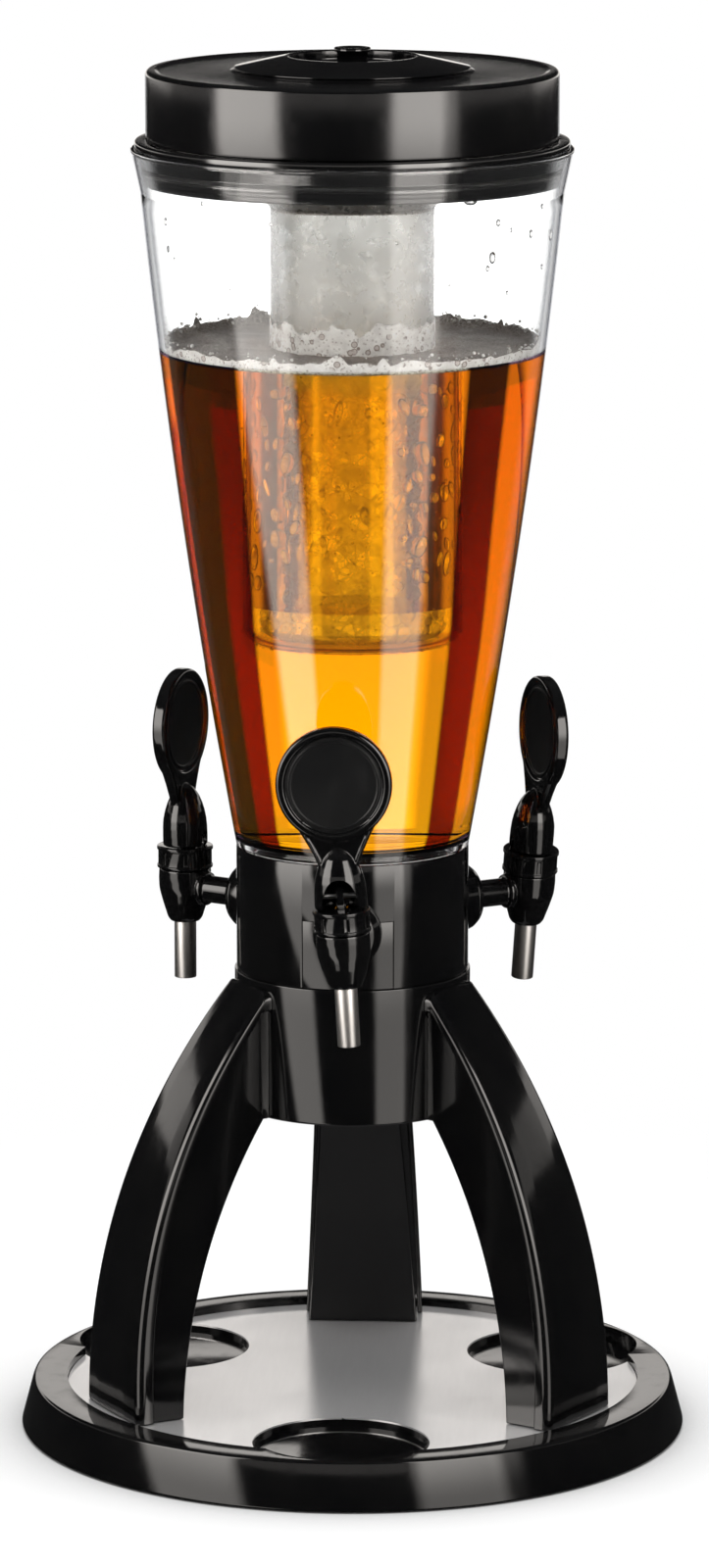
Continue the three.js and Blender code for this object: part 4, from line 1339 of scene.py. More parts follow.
@dataclass
class Drink:
    """The beer up to its surface, with froth on it, on the wall and on the tube, and bubbles."""

    container: Container
    bottom: float = 290.9
    surface: float = 523.5
    overlap: float = 1.4
    tube_overlap: float = 1.2
    tube_radius: float = 38.5
    tube_bottom: float = 385.0
    tube_corner: float = 10.0
    froth_low: float = 522.2
    froth_depth: float = 2.0
    lump_size: float = 7.0
    lump_height: float = 0.7
    climb_width: float = 4.5
    wall_slope: float = 0.14
    skin: float = 0.35
    bubble_sizes: tuple[float, ...] = (0.35, 0.45, 0.55, 0.7, 0.9)
    crest_bubble_count: int = 420
    tube_bubble_count: int = 560
    seed: int = 11

    def build(self, finishes: Finishes) -> None:
        """Builds the beer, the froth and the bubbles."""
        self._beer(finishes)
        self._froth(finishes)
        self._froth_skin(finishes)
        self._froth_bubbles(finishes)
        self._tube_froth(finishes)
        self._tube_bubbles(finishes)

    @staticmethod
    def _put(name: str, shell: Shell, material: bpy.types.Material, sharp: float = 180) -> None:
        """Puts one part of the drink on the stand."""
        placed(name, shell, material, Bodies.STAND.value, "clear", sharp=sharp)

    def _beer(self, finishes: Finishes) -> None:
        """The body of beer round the tube; its skin lies inside the walls that hold it."""
        vessel = self.container
        inset = vessel.wall - self.overlap
        wall = [(r, h) for r, h in vessel.flare(inset) if vessel.shoulder + 4 < h < self.surface - 3]
        lap = self.tube_overlap
        hole = self.tube_radius - lap
        edge = vessel.radius_at(self.surface, inset)
        outline = [
            Corner(0, self.bottom),
            Corner(vessel.base_radius - inset - 1.6, self.bottom, 1.2, 5),
            Corner(vessel.base_radius - inset + 0.3, vessel.shoulder + 1.5, 2.5),
            *[Corner(r, h) for r, h in wall],
            Corner(edge, self.surface),
            Corner(hole + 3.5, self.surface, 2.5, 6),
            Corner(hole, self.surface + 1.0),
            Corner(hole, self.tube_bottom + lap, self.tube_corner - lap, 12),
            Corner(0, self.tube_bottom + lap),
        ]
        self._put("beer", turned(rounded(outline), 192), finishes.beer, 70)

    def crest(self, angle: float) -> float:
        """How high the froth climbs the wall above the beer at an angle round the tower."""
        place = Vector((math.sin(angle) * 6, math.cos(angle) * 6, 5))
        lumps = noise.noise(place) + 0.5 * noise.noise(place * 3.1)
        spikes = max(0.0, noise.noise(place * 2.3 + Vector((9, 2, 4))) - 0.28) * 9
        return 4.9 + 1.9 * lumps + spikes

    def _froth(self, finishes: Finishes) -> None:
        """A thin lumpy layer of froth on the beer, ragged where it climbs the wall."""
        outer_low = self.container.radius_at(self.froth_low, self.container.wall) - 0.1 - self.skin
        inner = self.tube_radius + 0.15
        steps, rings = 360, 34
        shell = Shell()
        for ring in range(rings + 1):
            share = (ring / rings) ** 0.7
            for step in range(steps):
                angle = math.tau * step / steps
                radius = inner + (outer_low - inner) * share
                place = around(radius, angle)
                lump = noise.fractal(place / self.lump_size + Vector((0, 0, 3)), 1.0, 2.0, 4)
                wall = max(0.0, 1 - (outer_low - radius) / self.climb_width)
                flat = self.froth_depth + self.lump_height * lump
                height = self.froth_low + flat + wall ** 2 * (self.crest(angle) - flat + 0.8)
                spread = (height - self.froth_low) * self.wall_slope * wall
                place *= (radius + spread) / radius
                shell.points.append(Vector((place.x, place.y, height)))
        top_count = len(shell.points)
        for radius in (inner, outer_low):
            for step in range(steps):
                angle = math.tau * step / steps
                shell.points.append(around(radius, angle, self.froth_low))
        for step in range(steps):
            following = (step + 1) % steps
            for ring in range(rings):
                low, high = ring * steps, (ring + 1) * steps
                shell.faces.append((low + step, high + step, high + following, low + following))
            inside, outside = top_count, top_count + steps
            last = rings * steps
            shell.faces.append((inside + step, step, following, inside + following))
            shell.faces.append((last + step, outside + step, outside + following, last + following))
            shell.faces.append((inside + step, inside + following, outside + following, outside + step))
        self._put("froth", shell, finishes.froth)

    def _froth_skin(self, finishes: Finishes) -> None:
        """The pale band of froth against the wall, scalloped by bubbles along its foot."""
        def span(angle: float) -> Span:
            """Where the band starts and ends at an angle."""
            scallop = abs(math.sin(angle * 95 + 3 * math.sin(angle * 7))) * 0.8
            return self.surface - 0.2 - scallop, self.froth_low + self.crest(angle) + 0.35

        def radius(height: float, layer: float) -> float:
            """The band's radius at a height and a depth from its outside."""
            return self.container.radius_at(height, self.container.wall) - 0.08 - layer
        shell = sleeve(span, radius, self.skin, 720, 8)
        self._put("froth_skin", shell, finishes.froth_skin)

    def _froth_bubbles(self, finishes: Finishes) -> None:
        """Bubbles that stand on the froth's crest round the wall."""
        pick = random.Random(self.seed)
        shell = Shell()
        for _ in range(self.crest_bubble_count):
            angle = pick.uniform(0, math.tau)
            size = pick.choice(self.bubble_sizes) * pick.uniform(0.8, 1.2)
            height = self.froth_low + self.crest(angle) + pick.gauss(0, 1.6)
            radius = self.container.radius_at(height, self.container.wall) - size - 0.6
            shell.add(ball(size).moved(shift(*around(radius, angle, height))))
        self._put("froth_bubbles", shell, finishes.froth_skin)

    def _tube_froth(self, finishes: Finishes) -> None:
        """The pale froth that clings round the tube where it meets the beer."""
        thick = 0.5

        def span(angle: float) -> Span:
            """Where the froth starts and ends at an angle."""
            place = Vector((math.sin(angle) * 4, math.cos(angle) * 4, 1))
            lumps = noise.noise(place) + 0.6 * noise.noise(place * 2.7)
            return self.surface - 2.0 + 0.8 * lumps, self.surface + 13.0 + 4.5 * lumps

        def radius(_: float, layer: float) -> float:
            """The froth's radius at a depth from its outside."""
            return self.tube_radius + 0.12 + thick - layer
        shell = sleeve(span, radius, thick, 480, 10)
        self._put("tube_froth", shell, finishes.froth_skin)

    def _tube_bubbles(self, finishes: Finishes) -> None:
        """Fine air bubbles that cling to the tube in the beer."""
        pick = random.Random(self.seed + 1)
        shell = Shell()
        for number in range(self.tube_bubble_count):
            size = pick.uniform(0.18, 0.5)
            angle = pick.uniform(0, math.tau)
            on_rim = number % 4 == 0
            low = self.tube_bottom + self.tube_corner
            height = pick.uniform(low, self.surface - 5) if not on_rim else low - 0.5
            radius = self.tube_radius + size * 0.8
            if on_rim:
                bend = pick.uniform(0.1, 1.4)
                radius = self.tube_radius - self.tube_corner * (1 - math.cos(bend)) + size * 0.8
                height = low - self.tube_corner * math.sin(bend) - size * 0.5
            shell.add(ball(size).moved(shift(*around(radius, angle, height))))
        self._put("tube_bubbles", shell, finishes.bubble)


def taken_from(tool: bmesh.types.BMesh) -> Shell:
    """The points and faces of an edit mesh, which is freed."""
    tool.verts.index_update()
    points = [vertex.co.copy() for vertex in tool.verts]
    faces = [tuple(vertex.index for vertex in face.verts) for face in tool.faces]
    tool.free()
    return Shell(points, faces)


def ball(radius: float, level: int = 1) -> Shell:
    """A small ball, divided as finely as the level says."""
    tool = bmesh.new()
    bmesh.ops.create_icosphere(tool, subdivisions=level + 1, radius=radius)
    return taken_from(tool)


def chunk(pick: random.Random, size: float) -> Shell:
    """A broken chunk of ice: the hull of a few seeded points."""
    tool = bmesh.new()
    for _ in range(pick.randint(9, 14)):
        place = Vector((pick.gauss(0, 1), pick.gauss(0, 1), pick.gauss(0, 1))).normalized()
        tool.verts.new(place * size * pick.uniform(0.75, 1.0))
    result = bmesh.ops.convex_hull(tool, input=tool.verts)
    loose = [item for item in result["geom_interior"] if isinstance(item, bmesh.types.BMVert)]
    bmesh.ops.delete(tool, geom=loose, context="VERTS")
    bmesh.ops.bevel(
        tool, geom=list(tool.edges), offset=size * 0.12, segments=2, affect="EDGES", clamp_overlap=True,
    )
    return taken_from(tool)


@dataclass(frozen=True)
class Drop:
    """A drop on the container's inner wall: where it sits and how big it is."""

    azimuth: float
    height: float
    size: float
    stretch: float = 1.3


@dataclass
class Condensation:
    """Drops on the upper wall and one that hangs under the plug."""

    container: Container
    drops: tuple[Drop, ...] = (
        Drop(46.5, 590.5, 1.3), Drop(66.5, 595.0, 1.0), Drop(61.5, 583.0, 1.3, 1.6),
        Drop(45.3, 574.4, 1.9, 1.5), Drop(43.8, 569.5, 1.1), Drop(52.5, 557.0, 0.8),
        Drop(75.0, 580.0, 1.5, 1.8), Drop(70.5, 566.0, 1.0), Drop(-60.0, 588.0, 1.1, 1.7),
        Drop(-57.0, 571.0, 0.7), Drop(-34.0, 560.0, 0.6), Drop(31.0, 563.0, 0.6),
        Drop(120.0, 585.0, 1.4), Drop(128.0, 572.0, 1.0), Drop(165.0, 590.0, 1.2),
        Drop(200.0, 577.0, 1.5, 1.6), Drop(232.0, 588.0, 1.0), Drop(255.0, 566.0, 1.3),
        Drop(-20.0, 592.0, 0.7), Drop(15.0, 584.0, 0.8),
    )
    hanging_azimuth: float = 37.5
    hanging_radius: float = 94.0
    hanging_size: float = 3.2
    plug_bottom: float = 601.7

    def build(self, finishes: Finishes) -> None:
        """Builds the drops."""
        shell = Shell()
        for drop in self.drops:
            radius = self.container.radius_at(drop.height, self.container.wall)
            flat = Matrix.Diagonal((drop.size, drop.size * 0.55, drop.size * drop.stretch, 1))
            place = about_z(drop.azimuth * DEGREE) @ shift(0, -radius + 0.1, drop.height)
            shell.add(ball(1.0, 2).moved(place @ flat))
        placed("wall_drops", shell, finishes.drop, Bodies.STAND.value, "clear", sharp=180)
        place = about_z(self.hanging_azimuth * DEGREE) @ shift(0, -self.hanging_radius, self.plug_bottom)
        size = self.hanging_size
        hanging = ball(1.0, 3).moved(place @ Matrix.Diagonal((size, size * 0.8, size * 0.62, 1)))
        placed("plug_drop", hanging, finishes.drop, Bodies.LID.value, "clear", sharp=180)


@dataclass
class IceTube:
    """Clear round-bottomed tube that plugs into the lid, full of crushed ice."""

    radius: float = 38.5
    wall: float = 2.5
    bottom: float = 385.0
    corner: float = 10.0
    flare: float = 45.0
    flare_top: float = 599.4
    flare_height: float = 7.0
    top: float = 613.7
    ice_bottom: float = 389.5
    ice_top: float = 640.0
    melt_top: float = 405.0
    drops_top: float = 515.0
    chunks_round: int = 13
    chunk_size: Span = (5.5, 8.0)
    chunk_rise: float = 8.5
    drop_tries: int = 420
    seed: int = 5

    def build(self, finishes: Finishes) -> None:
        """Builds the tube and its ice."""
        inner = self.radius - self.wall
        profile = rounded([
            Corner(0, self.bottom),
            Corner(self.radius, self.bottom, self.corner, 14),
            Corner(self.radius, self.flare_top - self.flare_height, 3.0, 5),
            Corner(self.flare, self.flare_top - 0.5, 0.3, 3),
            Corner(self.flare, self.flare_top, 0.2, 2),
            Corner(self.radius, self.flare_top),
            Corner(self.radius, self.top, 0.5, 3),
            Corner(inner, self.top, 0.5, 3),
            Corner(inner, self.bottom + self.wall, self.corner - self.wall, 12),
            Corner(0, self.bottom + self.wall),
        ])
        placed(
            "ice_tube_wall", turned(profile, 160),
            finishes.tube, Bodies.ICE_TUBE.value, "clear", "ice_tube", sharp=60,
        )
        self._ice(finishes, inner)

    def _ice(self, finishes: Finishes, inner: float) -> None:
        """A packed column of crushed ice, melt water at its foot and drops on the wall."""
        pick = random.Random(self.seed)
        shell = bar(inner - 6.5, self.ice_bottom, self.ice_top - 4, 48)
        height = self.ice_bottom + 4
        row = 0
        while height < self.ice_top - 4:
            for number in range(self.chunks_round):
                size = pick.uniform(*self.chunk_size)
                step = number + 0.5 * (row % 2) + pick.uniform(-0.25, 0.25)
                angle = math.tau * step / self.chunks_round
                level = max(height + pick.uniform(-2.5, 2.5), self.ice_bottom + size * 0.8)
                reach = inner - 0.5 - size * pick.uniform(0.94, 1.05)
                place = around(reach, angle, level)
                spin = pick.uniform(0, math.tau)
                turn = Matrix.Rotation(spin, 4, Vector((pick.gauss(0, 1), pick.gauss(0, 1), 1)))
                shell.add(chunk(pick, size).moved(shift(*place) @ turn))
            height += self.chunk_rise
            row += 1
        piece = Workshop.solid("crushed_ice", shell)
        Workshop.melt(piece, 0.9, 2)
        self._press(piece, inner - 0.25)
        dressed(piece, finishes.ice, Bodies.ICE_TUBE.value, "clear", sharp=180)
        lap = 0.5
        floor = self.bottom + self.wall - lap
        melt = turned(rounded([
            Corner(0, floor),
            Corner(inner + lap, floor, self.corner - self.wall + lap, 10),
            Corner(inner + lap, self.melt_top), Corner(0, self.melt_top),
        ]), 128)
        placed("melt_water", melt, finishes.water, Bodies.ICE_TUBE.value, "clear", sharp=60)
        self._wall_drops(finishes, inner, pick)

    @staticmethod
    def _press(piece: bpy.types.Object, radius: float) -> None:
        """Flattens whatever of a piece lies past a radius against that radius."""
        limit = radius * MM
        for vertex in piece.data.vertices:
            out = math.hypot(vertex.co.x, vertex.co.y)
            if out > limit:
                vertex.co.x *= limit / out
                vertex.co.y *= limit / out

    def _wall_drops(self, finishes: Finishes, inner: float, pick: random.Random) -> None:
        """Runs and drops of melt water between the ice and the wall."""
        shell = Shell()
        taken: list[tuple[float, float, float]] = []
        for _ in range(self.drop_tries):
            angle = pick.choice((-1, 1)) * pick.triangular(30, 180, 75) * DEGREE
            level = pick.uniform(self.melt_top + 8, self.drops_top)
            width = pick.uniform(1.2, 3.2)
            length = width * pick.uniform(1.0, 2.4)
            gaps = [
                math.hypot((angle - turn) * inner, (level - high) * 0.5) - width - wide
                for turn, high, wide in taken
            ]
            if gaps and min(gaps) < 0.2:
                continue
            taken.append((angle, level, width))
            lean = Matrix.Rotation(pick.uniform(-0.4, 0.4), 4, "Y")
            place = shift(0, -inner, level) @ lean @ Matrix.Diagonal((width, width, length, 1))
            shell.add(ball(1.0, 2).moved(about_z(angle) @ place))
        piece = Workshop.solid("tube_wall_drops", shell)
        self._press(piece, inner + 0.25)
        dressed(piece, finishes.water, Bodies.ICE_TUBE.value, "clear", sharp=180)


# The lid

@dataclass
class Lid:
    """Black lid: a plug with a flange and a seal ring, under a shallow drum cap."""

    seat: float = 618.0
    flange_radius: float = 102.2
    flange_top: float = 621.2
    cap_bottom: float = 621.5
    cap_radius: float = 97.0
    top: float = 654.3
    wall: float = 2.5
    plug_bottom: float = 601.7
    plug_low_radius: float = 96.9
    plug_top_radius: float = 99.9
    neck_inner: float = 39.3
    neck_outer: float = 41.9
    seal_drop: float = 8.7
    groove_half_height: float = 1.3
    groove_depth: float = 1.2
    ring_heights: Span = (604.6, 606.6)
    ring_half_height: float = 0.35

    def build(self, finishes: Finishes) -> None:
        """Builds both halves of the lid and its seal."""
        self._plug(finishes)
        self._cap(finishes)

    def _plug(self, finishes: Finishes) -> None:
        """The lower half, with shallow rings turned into the plug."""
        deck = self.top - self.wall
        draft = (self.plug_top_radius - self.plug_low_radius) / (self.seat - self.plug_bottom)

        def radius(height: float) -> float:
            """The plug's radius at a height."""
            return self.plug_low_radius + draft * (height - self.plug_bottom)
        seal = self.seat - self.seal_drop
        half, floor = self.groove_half_height, radius(seal) - self.groove_depth
        corners = [
            Corner(self.neck_inner, self.plug_bottom, 0.4, 3),
            Corner(self.plug_low_radius, self.plug_bottom, 1.2, 5),
        ]
        for height in self.ring_heights:
            low, high = height - self.ring_half_height, height + self.ring_half_height
            dip = Corner(radius(height) - 0.3, height)
            corners += [Corner(radius(low), low), dip, Corner(radius(high), high)]
        corners += [
            Corner(radius(seal - half), seal - half, 0.3, 2), Corner(floor, seal - half),
            Corner(floor, seal + half), Corner(radius(seal + half), seal + half, 0.3, 2),
            Corner(self.plug_top_radius, self.seat, 0.3, 2),
            Corner(self.flange_radius, self.seat, 0.5, 4),
            Corner(self.flange_radius, self.flange_top, 0.9, 5),
            Corner(floor - self.wall, self.flange_top, 0.4, 3),
            Corner(floor - self.wall, self.plug_bottom + self.wall, 1.0, 3),
            Corner(self.neck_outer, self.plug_bottom + self.wall, 1.0, 3),
            Corner(self.neck_outer, deck - 0.3, 0.3, 2),
            Corner(self.neck_inner, deck - 0.3, 0.3, 2),
        ]
        placed(
            "lid_plug_moulding", turned(rounded(corners, True), 240, closed=True),
            finishes.plug, Bodies.LID.value, "satin_black", "lid_plug", sharp=35,
        )
        middle = radius(seal)
        thick, steps = 0.95, 16
        turns = [step * math.tau / steps for step in range(steps)]
        ring = [(middle - 0.9 + thick * math.cos(turn), seal + thick * math.sin(turn)) for turn in turns]
        placed(
            "lid_seal_ring", turned(ring, 240, closed=True),
            finishes.rubber, Bodies.LID.value, "rubber", "lid_seal",
        )

    def _cap(self, finishes: Finishes) -> None:
        """The upper half: a drum with a rounded edge and a deck sunk a little inside it."""
        inside = self.cap_radius - self.wall
        corners = [
            Corner(inside, self.cap_bottom, 0.4, 3),
            Corner(self.cap_radius, self.cap_bottom, 0.5, 4),
            Corner(self.cap_radius, self.top, 2.2, 9),
            Corner(self.cap_radius - 4.5, self.top - 0.05, 0.6, 4),
            Corner(self.cap_radius - 6.5, self.top - 0.75, 0.9, 4),
            Corner(self.neck_inner + 18, self.top - 0.7, 1.0, 4),
            Corner(self.neck_inner + 16, self.top - 0.1, 1.0, 4),
            Corner(self.neck_inner, self.top - 0.1, 0.6, 4),
            Corner(self.neck_inner, self.top - self.wall, 0.3, 2),
            Corner(inside, self.top - self.wall, 1.5, 4),
        ]
        placed(
            "lid_drum", turned(rounded(corners, True), 240, closed=True),
            finishes.satin, Bodies.LID.value, "satin_black", "lid_cap",
        )


@dataclass
class IceCap:
    """Low cone over the ice tube with a finger well and a pull knob in it."""

    seat: float = 654.6
    base_radius: float = 55.3
    top_radius: float = 31.2
    top: float = 660.4
    well_radius: float = 29.6
    well_floor: float = 654.4
    knob_neck: float = 7.2
    knob_radius: float = 8.6
    knob_top: float = 664.4
    skirt_radius: float = 39.0
    skirt_bottom: float = 646.6
    wall: float = 2.0

    def build(self, finishes: Finishes) -> None:
        """Builds the cap."""
        groove = self.skirt_radius - 1.2
        corners = [
            Corner(0, self.well_floor - self.wall),
            Corner(self.skirt_radius - self.wall, self.well_floor - self.wall, 0.5, 3),
            Corner(self.skirt_radius - self.wall, self.skirt_bottom, 0.3, 2),
            Corner(groove, self.skirt_bottom, 0.2, 2),
            Corner(groove, self.skirt_bottom + 2.6),
            Corner(self.skirt_radius, self.skirt_bottom + 2.6, 0.2, 2),
            Corner(self.skirt_radius, self.seat),
            Corner(self.base_radius, self.seat, 0.2, 2),
            Corner(self.base_radius, self.seat + 0.7, 0.35, 4),
            Corner(self.top_radius + 0.2, self.top, 0.9, 6),
            Corner(self.well_radius, self.top, 0.7, 5),
            Corner(self.well_radius, self.well_floor, 2.2, 7),
            Corner(self.knob_neck, self.well_floor, 1.5, 6),
            Corner(self.knob_neck, self.knob_top - 2.2, 0.6, 4),
            Corner(self.knob_radius, self.knob_top - 1.9, 0.5, 4),
            Corner(self.knob_radius, self.knob_top, 0.7, 5),
            Corner(self.knob_radius - 2.2, self.knob_top, 0.5, 4),
            Corner(self.knob_radius - 3.2, self.knob_top - 0.5, 0.5, 4),
            Corner(0, self.knob_top - 0.5),
        ]
        placed(
            "ice_cap_moulding", turned(rounded(corners), 192),
            finishes.gloss, Bodies.ICE_CAP.value, "satin_black", "ice_cap",
        )


# The taps

@dataclass
class Tap:
    """One paddle tap on the collar, leaned on its shank and with its lever turned as it was set."""

    side: Side
    turn: float
    lean: float
    lever_turn: float
    shank_height: float = 253.0
    axis_radius: float = 96.0

    def place(self, lever: bool) -> Matrix:
        """Where the tap's barrel, or its lever, stands."""
        base = shift(z=self.shank_height) @ about_z(self.turn) @ Matrix.Rotation(self.lean, 4, "Y")
        base = base @ shift(y=-self.axis_radius)
        return in_metres(base @ about_z(self.lever_turn) if lever else base)

    def round_tower(self) -> Matrix:
        """Where what sits on the collar, and isn't leaned, stands."""
        return in_metres(shift(z=self.shank_height) @ about_z(self.turn))


@dataclass
class TapParts:
    """The mouldings that all three taps share, built once at the barrel's axis."""

    finishes: Finishes
    barrel_top: float = 9.4
    barrel_bottom: float = -17.0
    shank_radius: float = 6.6
    saddle_distance: float = 29.7
    bonnet_radius: float = 13.1
    bonnet_bottom: float = 9.7
    bonnet_top: float = 20.3
    lip: float = 0.45
    notch_count: int = 7
    hood_bottom: float = 20.6
    hood_radius: float = 12.3
    hood_height: float = 30.0
    hood_depth_share: float = 0.87
    paddle_rise: float = 79.7
    paddle_radius: float = 27.1
    paddle_thickness: float = 7.4
    paddle_offset: float = 2.0
    neck_thickness: float = 5.6
    spout_radius: float = 5.3
    spout_bottom: float = -45.0
    spout_wall: float = 0.7
    flange_radius: float = 16.3
    collar_radius: float = 55.4

    def body(self) -> bpy.types.Mesh:
        """Barrel and shank, fused with a small fillet."""
        barrel = rounded([
            Corner(0, self.barrel_bottom),
            Corner(6.9, self.barrel_bottom, 1.2, 4),
            Corner(8.4, self.barrel_bottom + 2.0, 4.0, 5),
            Corner(10.8, -7.3, 20.0, 6),
            Corner(12.5, -1.0, 18.0, 6),
            Corner(12.75, 4.6, 20.0, 6),
            Corner(12.5, self.barrel_top, 0.8, 4),
            Corner(10.9, self.barrel_top, 0.2, 2),
            Corner(10.9, 16.8, 0.3, 2),
            Corner(0, 16.8),
        ])
        shell = turned(barrel, 96)
        shank = turned(rounded([
            Corner(0, 0), Corner(self.shank_radius, 0, 0.2, 2),
            Corner(self.shank_radius, self.saddle_distance, 0.2, 2),
            Corner(6.0, self.saddle_distance + 0.4, 0.2, 2), Corner(6.0, 60.4, 0.5, 3), Corner(0, 60.4),
        ]), 64).along_y()
        collar_step = turned(rounded([
            Corner(0, 10.4), Corner(8.3, 10.4, 1.4, 5), Corner(8.3, 13.6, 0.9, 4), Corner(0, 13.6),
        ]), 64).along_y()
        piece = Workshop.solid("tap_body_moulding", shell.add(shank).add(collar_step))
        Workshop.melt(piece, 0.38, 5)
        return self._kept(piece, self.finishes.gloss, 180)

    @staticmethod
    def _kept(piece: bpy.types.Object, material: bpy.types.Material, sharp: float = 40) -> bpy.types.Mesh:
        """The piece's mesh in its finish, kept while its object goes."""
        mesh = Workshop.shade(piece, material, sharp).data
        bpy.data.objects.remove(piece)
        return mesh

    def spout(self) -> bpy.types.Mesh:
        """Steel spout with a rolled end."""
        radius, inside = self.spout_radius, self.spout_radius - self.spout_wall
        profile = rounded([
            Corner(inside, self.spout_bottom, 0.25, 3), Corner(radius, self.spout_bottom, 0.35, 4),
            Corner(radius, self.barrel_bottom + 4, 0.2, 2), Corner(inside, self.barrel_bottom + 4),
        ], True)
        piece = Workshop.solid("tap_spout_tube", turned(profile, 72, closed=True))
        return self._kept(piece, self.finishes.spout)

    def bonnet(self) -> bpy.types.Mesh:
        """Ring nut with a lip at its top and bottom and dark notches round it."""
        lip = self.bonnet_radius + self.lip
        profile = rounded([
            Corner(11.2, self.bonnet_bottom, 0.2, 2),
            Corner(lip - 0.1, self.bonnet_bottom, 0.35, 3),
            Corner(lip - 0.1, self.bonnet_bottom + 1.3, 0.3, 3),
            Corner(self.bonnet_radius - 0.1, self.bonnet_bottom + 1.7, 0.2, 2),
            Corner(self.bonnet_radius - 0.1, self.bonnet_top - 2.1, 0.2, 2),
            Corner(lip, self.bonnet_top - 1.6, 0.3, 3),
            Corner(lip, self.bonnet_top, 0.5, 4),
            Corner(2.8, self.bonnet_top, 0.2, 2),
            Corner(2.8, self.bonnet_top - 3.0),
            Corner(11.2, self.bonnet_top - 3.0),
        ], True)
        piece = Workshop.solid("tap_bonnet_ring", turned(profile, 112, closed=True))
        for number in range(self.notch_count):
            turn = (number + 0.25) * math.tau / self.notch_count
            cutter = block((-1.1, -self.bonnet_radius - 5, self.bonnet_bottom + 1.9),
                           (1.1, -self.bonnet_radius + 1.1, self.bonnet_bottom + 8.0))
            Workshop.carve(piece, cutter.moved(about_z(turn)))
        Workshop.soften(piece, 0.16, 2, 50)
        return self._kept(piece, self.finishes.gloss)

    def flange(self) -> bpy.types.Mesh:
        """Domed washer over a saddle that fits the collar, with a thin line between them."""
        rim = -(self.collar_radius + 4.8)
        crown = rim - 5.8
        profile = rounded([
            Corner(6.9, crown, 0.4, 3), Corner(9.6, crown, 3.0, 6), Corner(13.6, crown + 1.6, 6.0, 6),
            Corner(15.9, rim - 1.0, 1.2, 5), Corner(15.9, rim - 0.45, 0.1, 2), Corner(15.3, rim - 0.3),
            Corner(15.3, rim, 0.05, 2), Corner(self.flange_radius, rim, 0.3, 3),
            Corner(self.flange_radius, -48.0), Corner(6.9, -48.0),
        ], True)
        shell = turned(profile, 96, closed=True).along_y()
        piece = Workshop.solid("tap_flange_dome", shell)
        Workshop.carve(piece, bar(self.collar_radius + 0.25, -30, 30, 240))
        return self._kept(piece, self.finishes.gloss)

    def lever(self) -> bpy.types.Mesh:
        """Paddle rim, neck and hood fused into one moulding, open at the front for the fork."""
        shell = self._paddle_rim().moved(shift(y=-self.paddle_offset, z=self.paddle_rise))
        shell.add(self._neck())
        shell.add(self._hood())
        piece = Workshop.solid("tap_lever_moulding", shell)
        Workshop.melt(piece, 0.42, 3)
        Workshop.carve(piece, self._arch())
        Workshop.carve(piece, self._hollow())
        low, high = self.hood_bottom - 5, self.hood_bottom + 7
        Workshop.carve(piece, block((-3, 0, low), (3, self.hood_radius + 5, high)))
        return self._kept(piece, self.finishes.gloss, 38)

    def _paddle_rim(self) -> Shell:
        """The round head's rim, turned about Y, closed by a web."""
        half = self.paddle_thickness / 2
        profile = rounded([
            Corner(0, -half + 1.5), Corner(22.6, -half + 1.5, 0.5, 3), Corner(23.4, -half + 0.2, 0.6, 4),
            Corner(24.4, -half, 0.8, 4), Corner(self.paddle_radius, -half + 0.5, 2.0, 6),
            Corner(self.paddle_radius, half - 0.5, 2.0, 6), Corner(24.4, half, 0.8, 4),
            Corner(23.4, half - 0.2, 0.6, 4), Corner(22.6, half - 1.5, 0.5, 3), Corner(0, half - 1.5),
        ])
        return turned(profile, 128).along_y()

    def _neck(self) -> Shell:
        """The neck: a waisted blade with ridges down its sides, from the head to the ear tips."""
        rows, dish = 26, 1.1
        tangent = 37 * DEGREE
        start_x = self.paddle_radius * math.cos(tangent) - 1.0
        start_z = -self.paddle_radius * math.sin(tangent)
        tip_x, tip_z = 8.9, -40.0
        waist_x = tip_x + (start_x - tip_x) * 0.35
        waist_z = start_z + (tip_z - start_z) * 0.5
        rings = []
        for row in range(rows + 1):
            share = row / rows
            half = (1 - share) ** 2 * start_x + 2 * share * (1 - share) * waist_x + share ** 2 * tip_x
            level = (1 - share) ** 2 * start_z + 2 * share * (1 - share) * waist_z + share ** 2 * tip_z
            depth = self.neck_thickness / 2 + 0.5 * (1 - share)
            edge = [
                (half - 0.5, depth * 0.7), (half - 1.6, depth), (half - 3.0, depth - dish * 0.55),
                (half * 0.45, depth - dish),
            ]
            back = edge + [(0, depth - dish * 1.1)] + [(-x, y) for x, y in reversed(edge)]
            outline = [(-half, 0)] + [(-x, -y) for x, y in back] + [(half, 0)] + back
            centre = -self.paddle_offset * (1 - 0.5 * share)
            rings.append([Vector((x, y + centre, level + self.paddle_rise)) for x, y in outline])
        return lofted(rings)

    def _hood(self) -> Shell:
        """The pointed hood that stands over the bonnet."""
        outline = [
            (0.94, 0.0), (1.0, 0.03), (1.0, 0.16), (0.985, 0.3), (0.95, 0.43), (0.88, 0.56),
            (0.78, 0.68), (0.64, 0.8), (0.5, 0.88), (0.36, 0.94), (0.18, 0.985), (0.0, 1.0),
        ]
        profile = [(0.0, 0.0)] + [(self.hood_radius * r, self.hood_height * h) for r, h in outline]
        return self._at_hood(turned(profile, 96))

    def _at_hood(self, shell: Shell) -> Shell:
        """A turned body flattened as the hood is, and standing at the hood's foot."""
        return shell.moved(shift(z=self.hood_bottom) @ Matrix.Diagonal((1, self.hood_depth_share, 1, 1)))

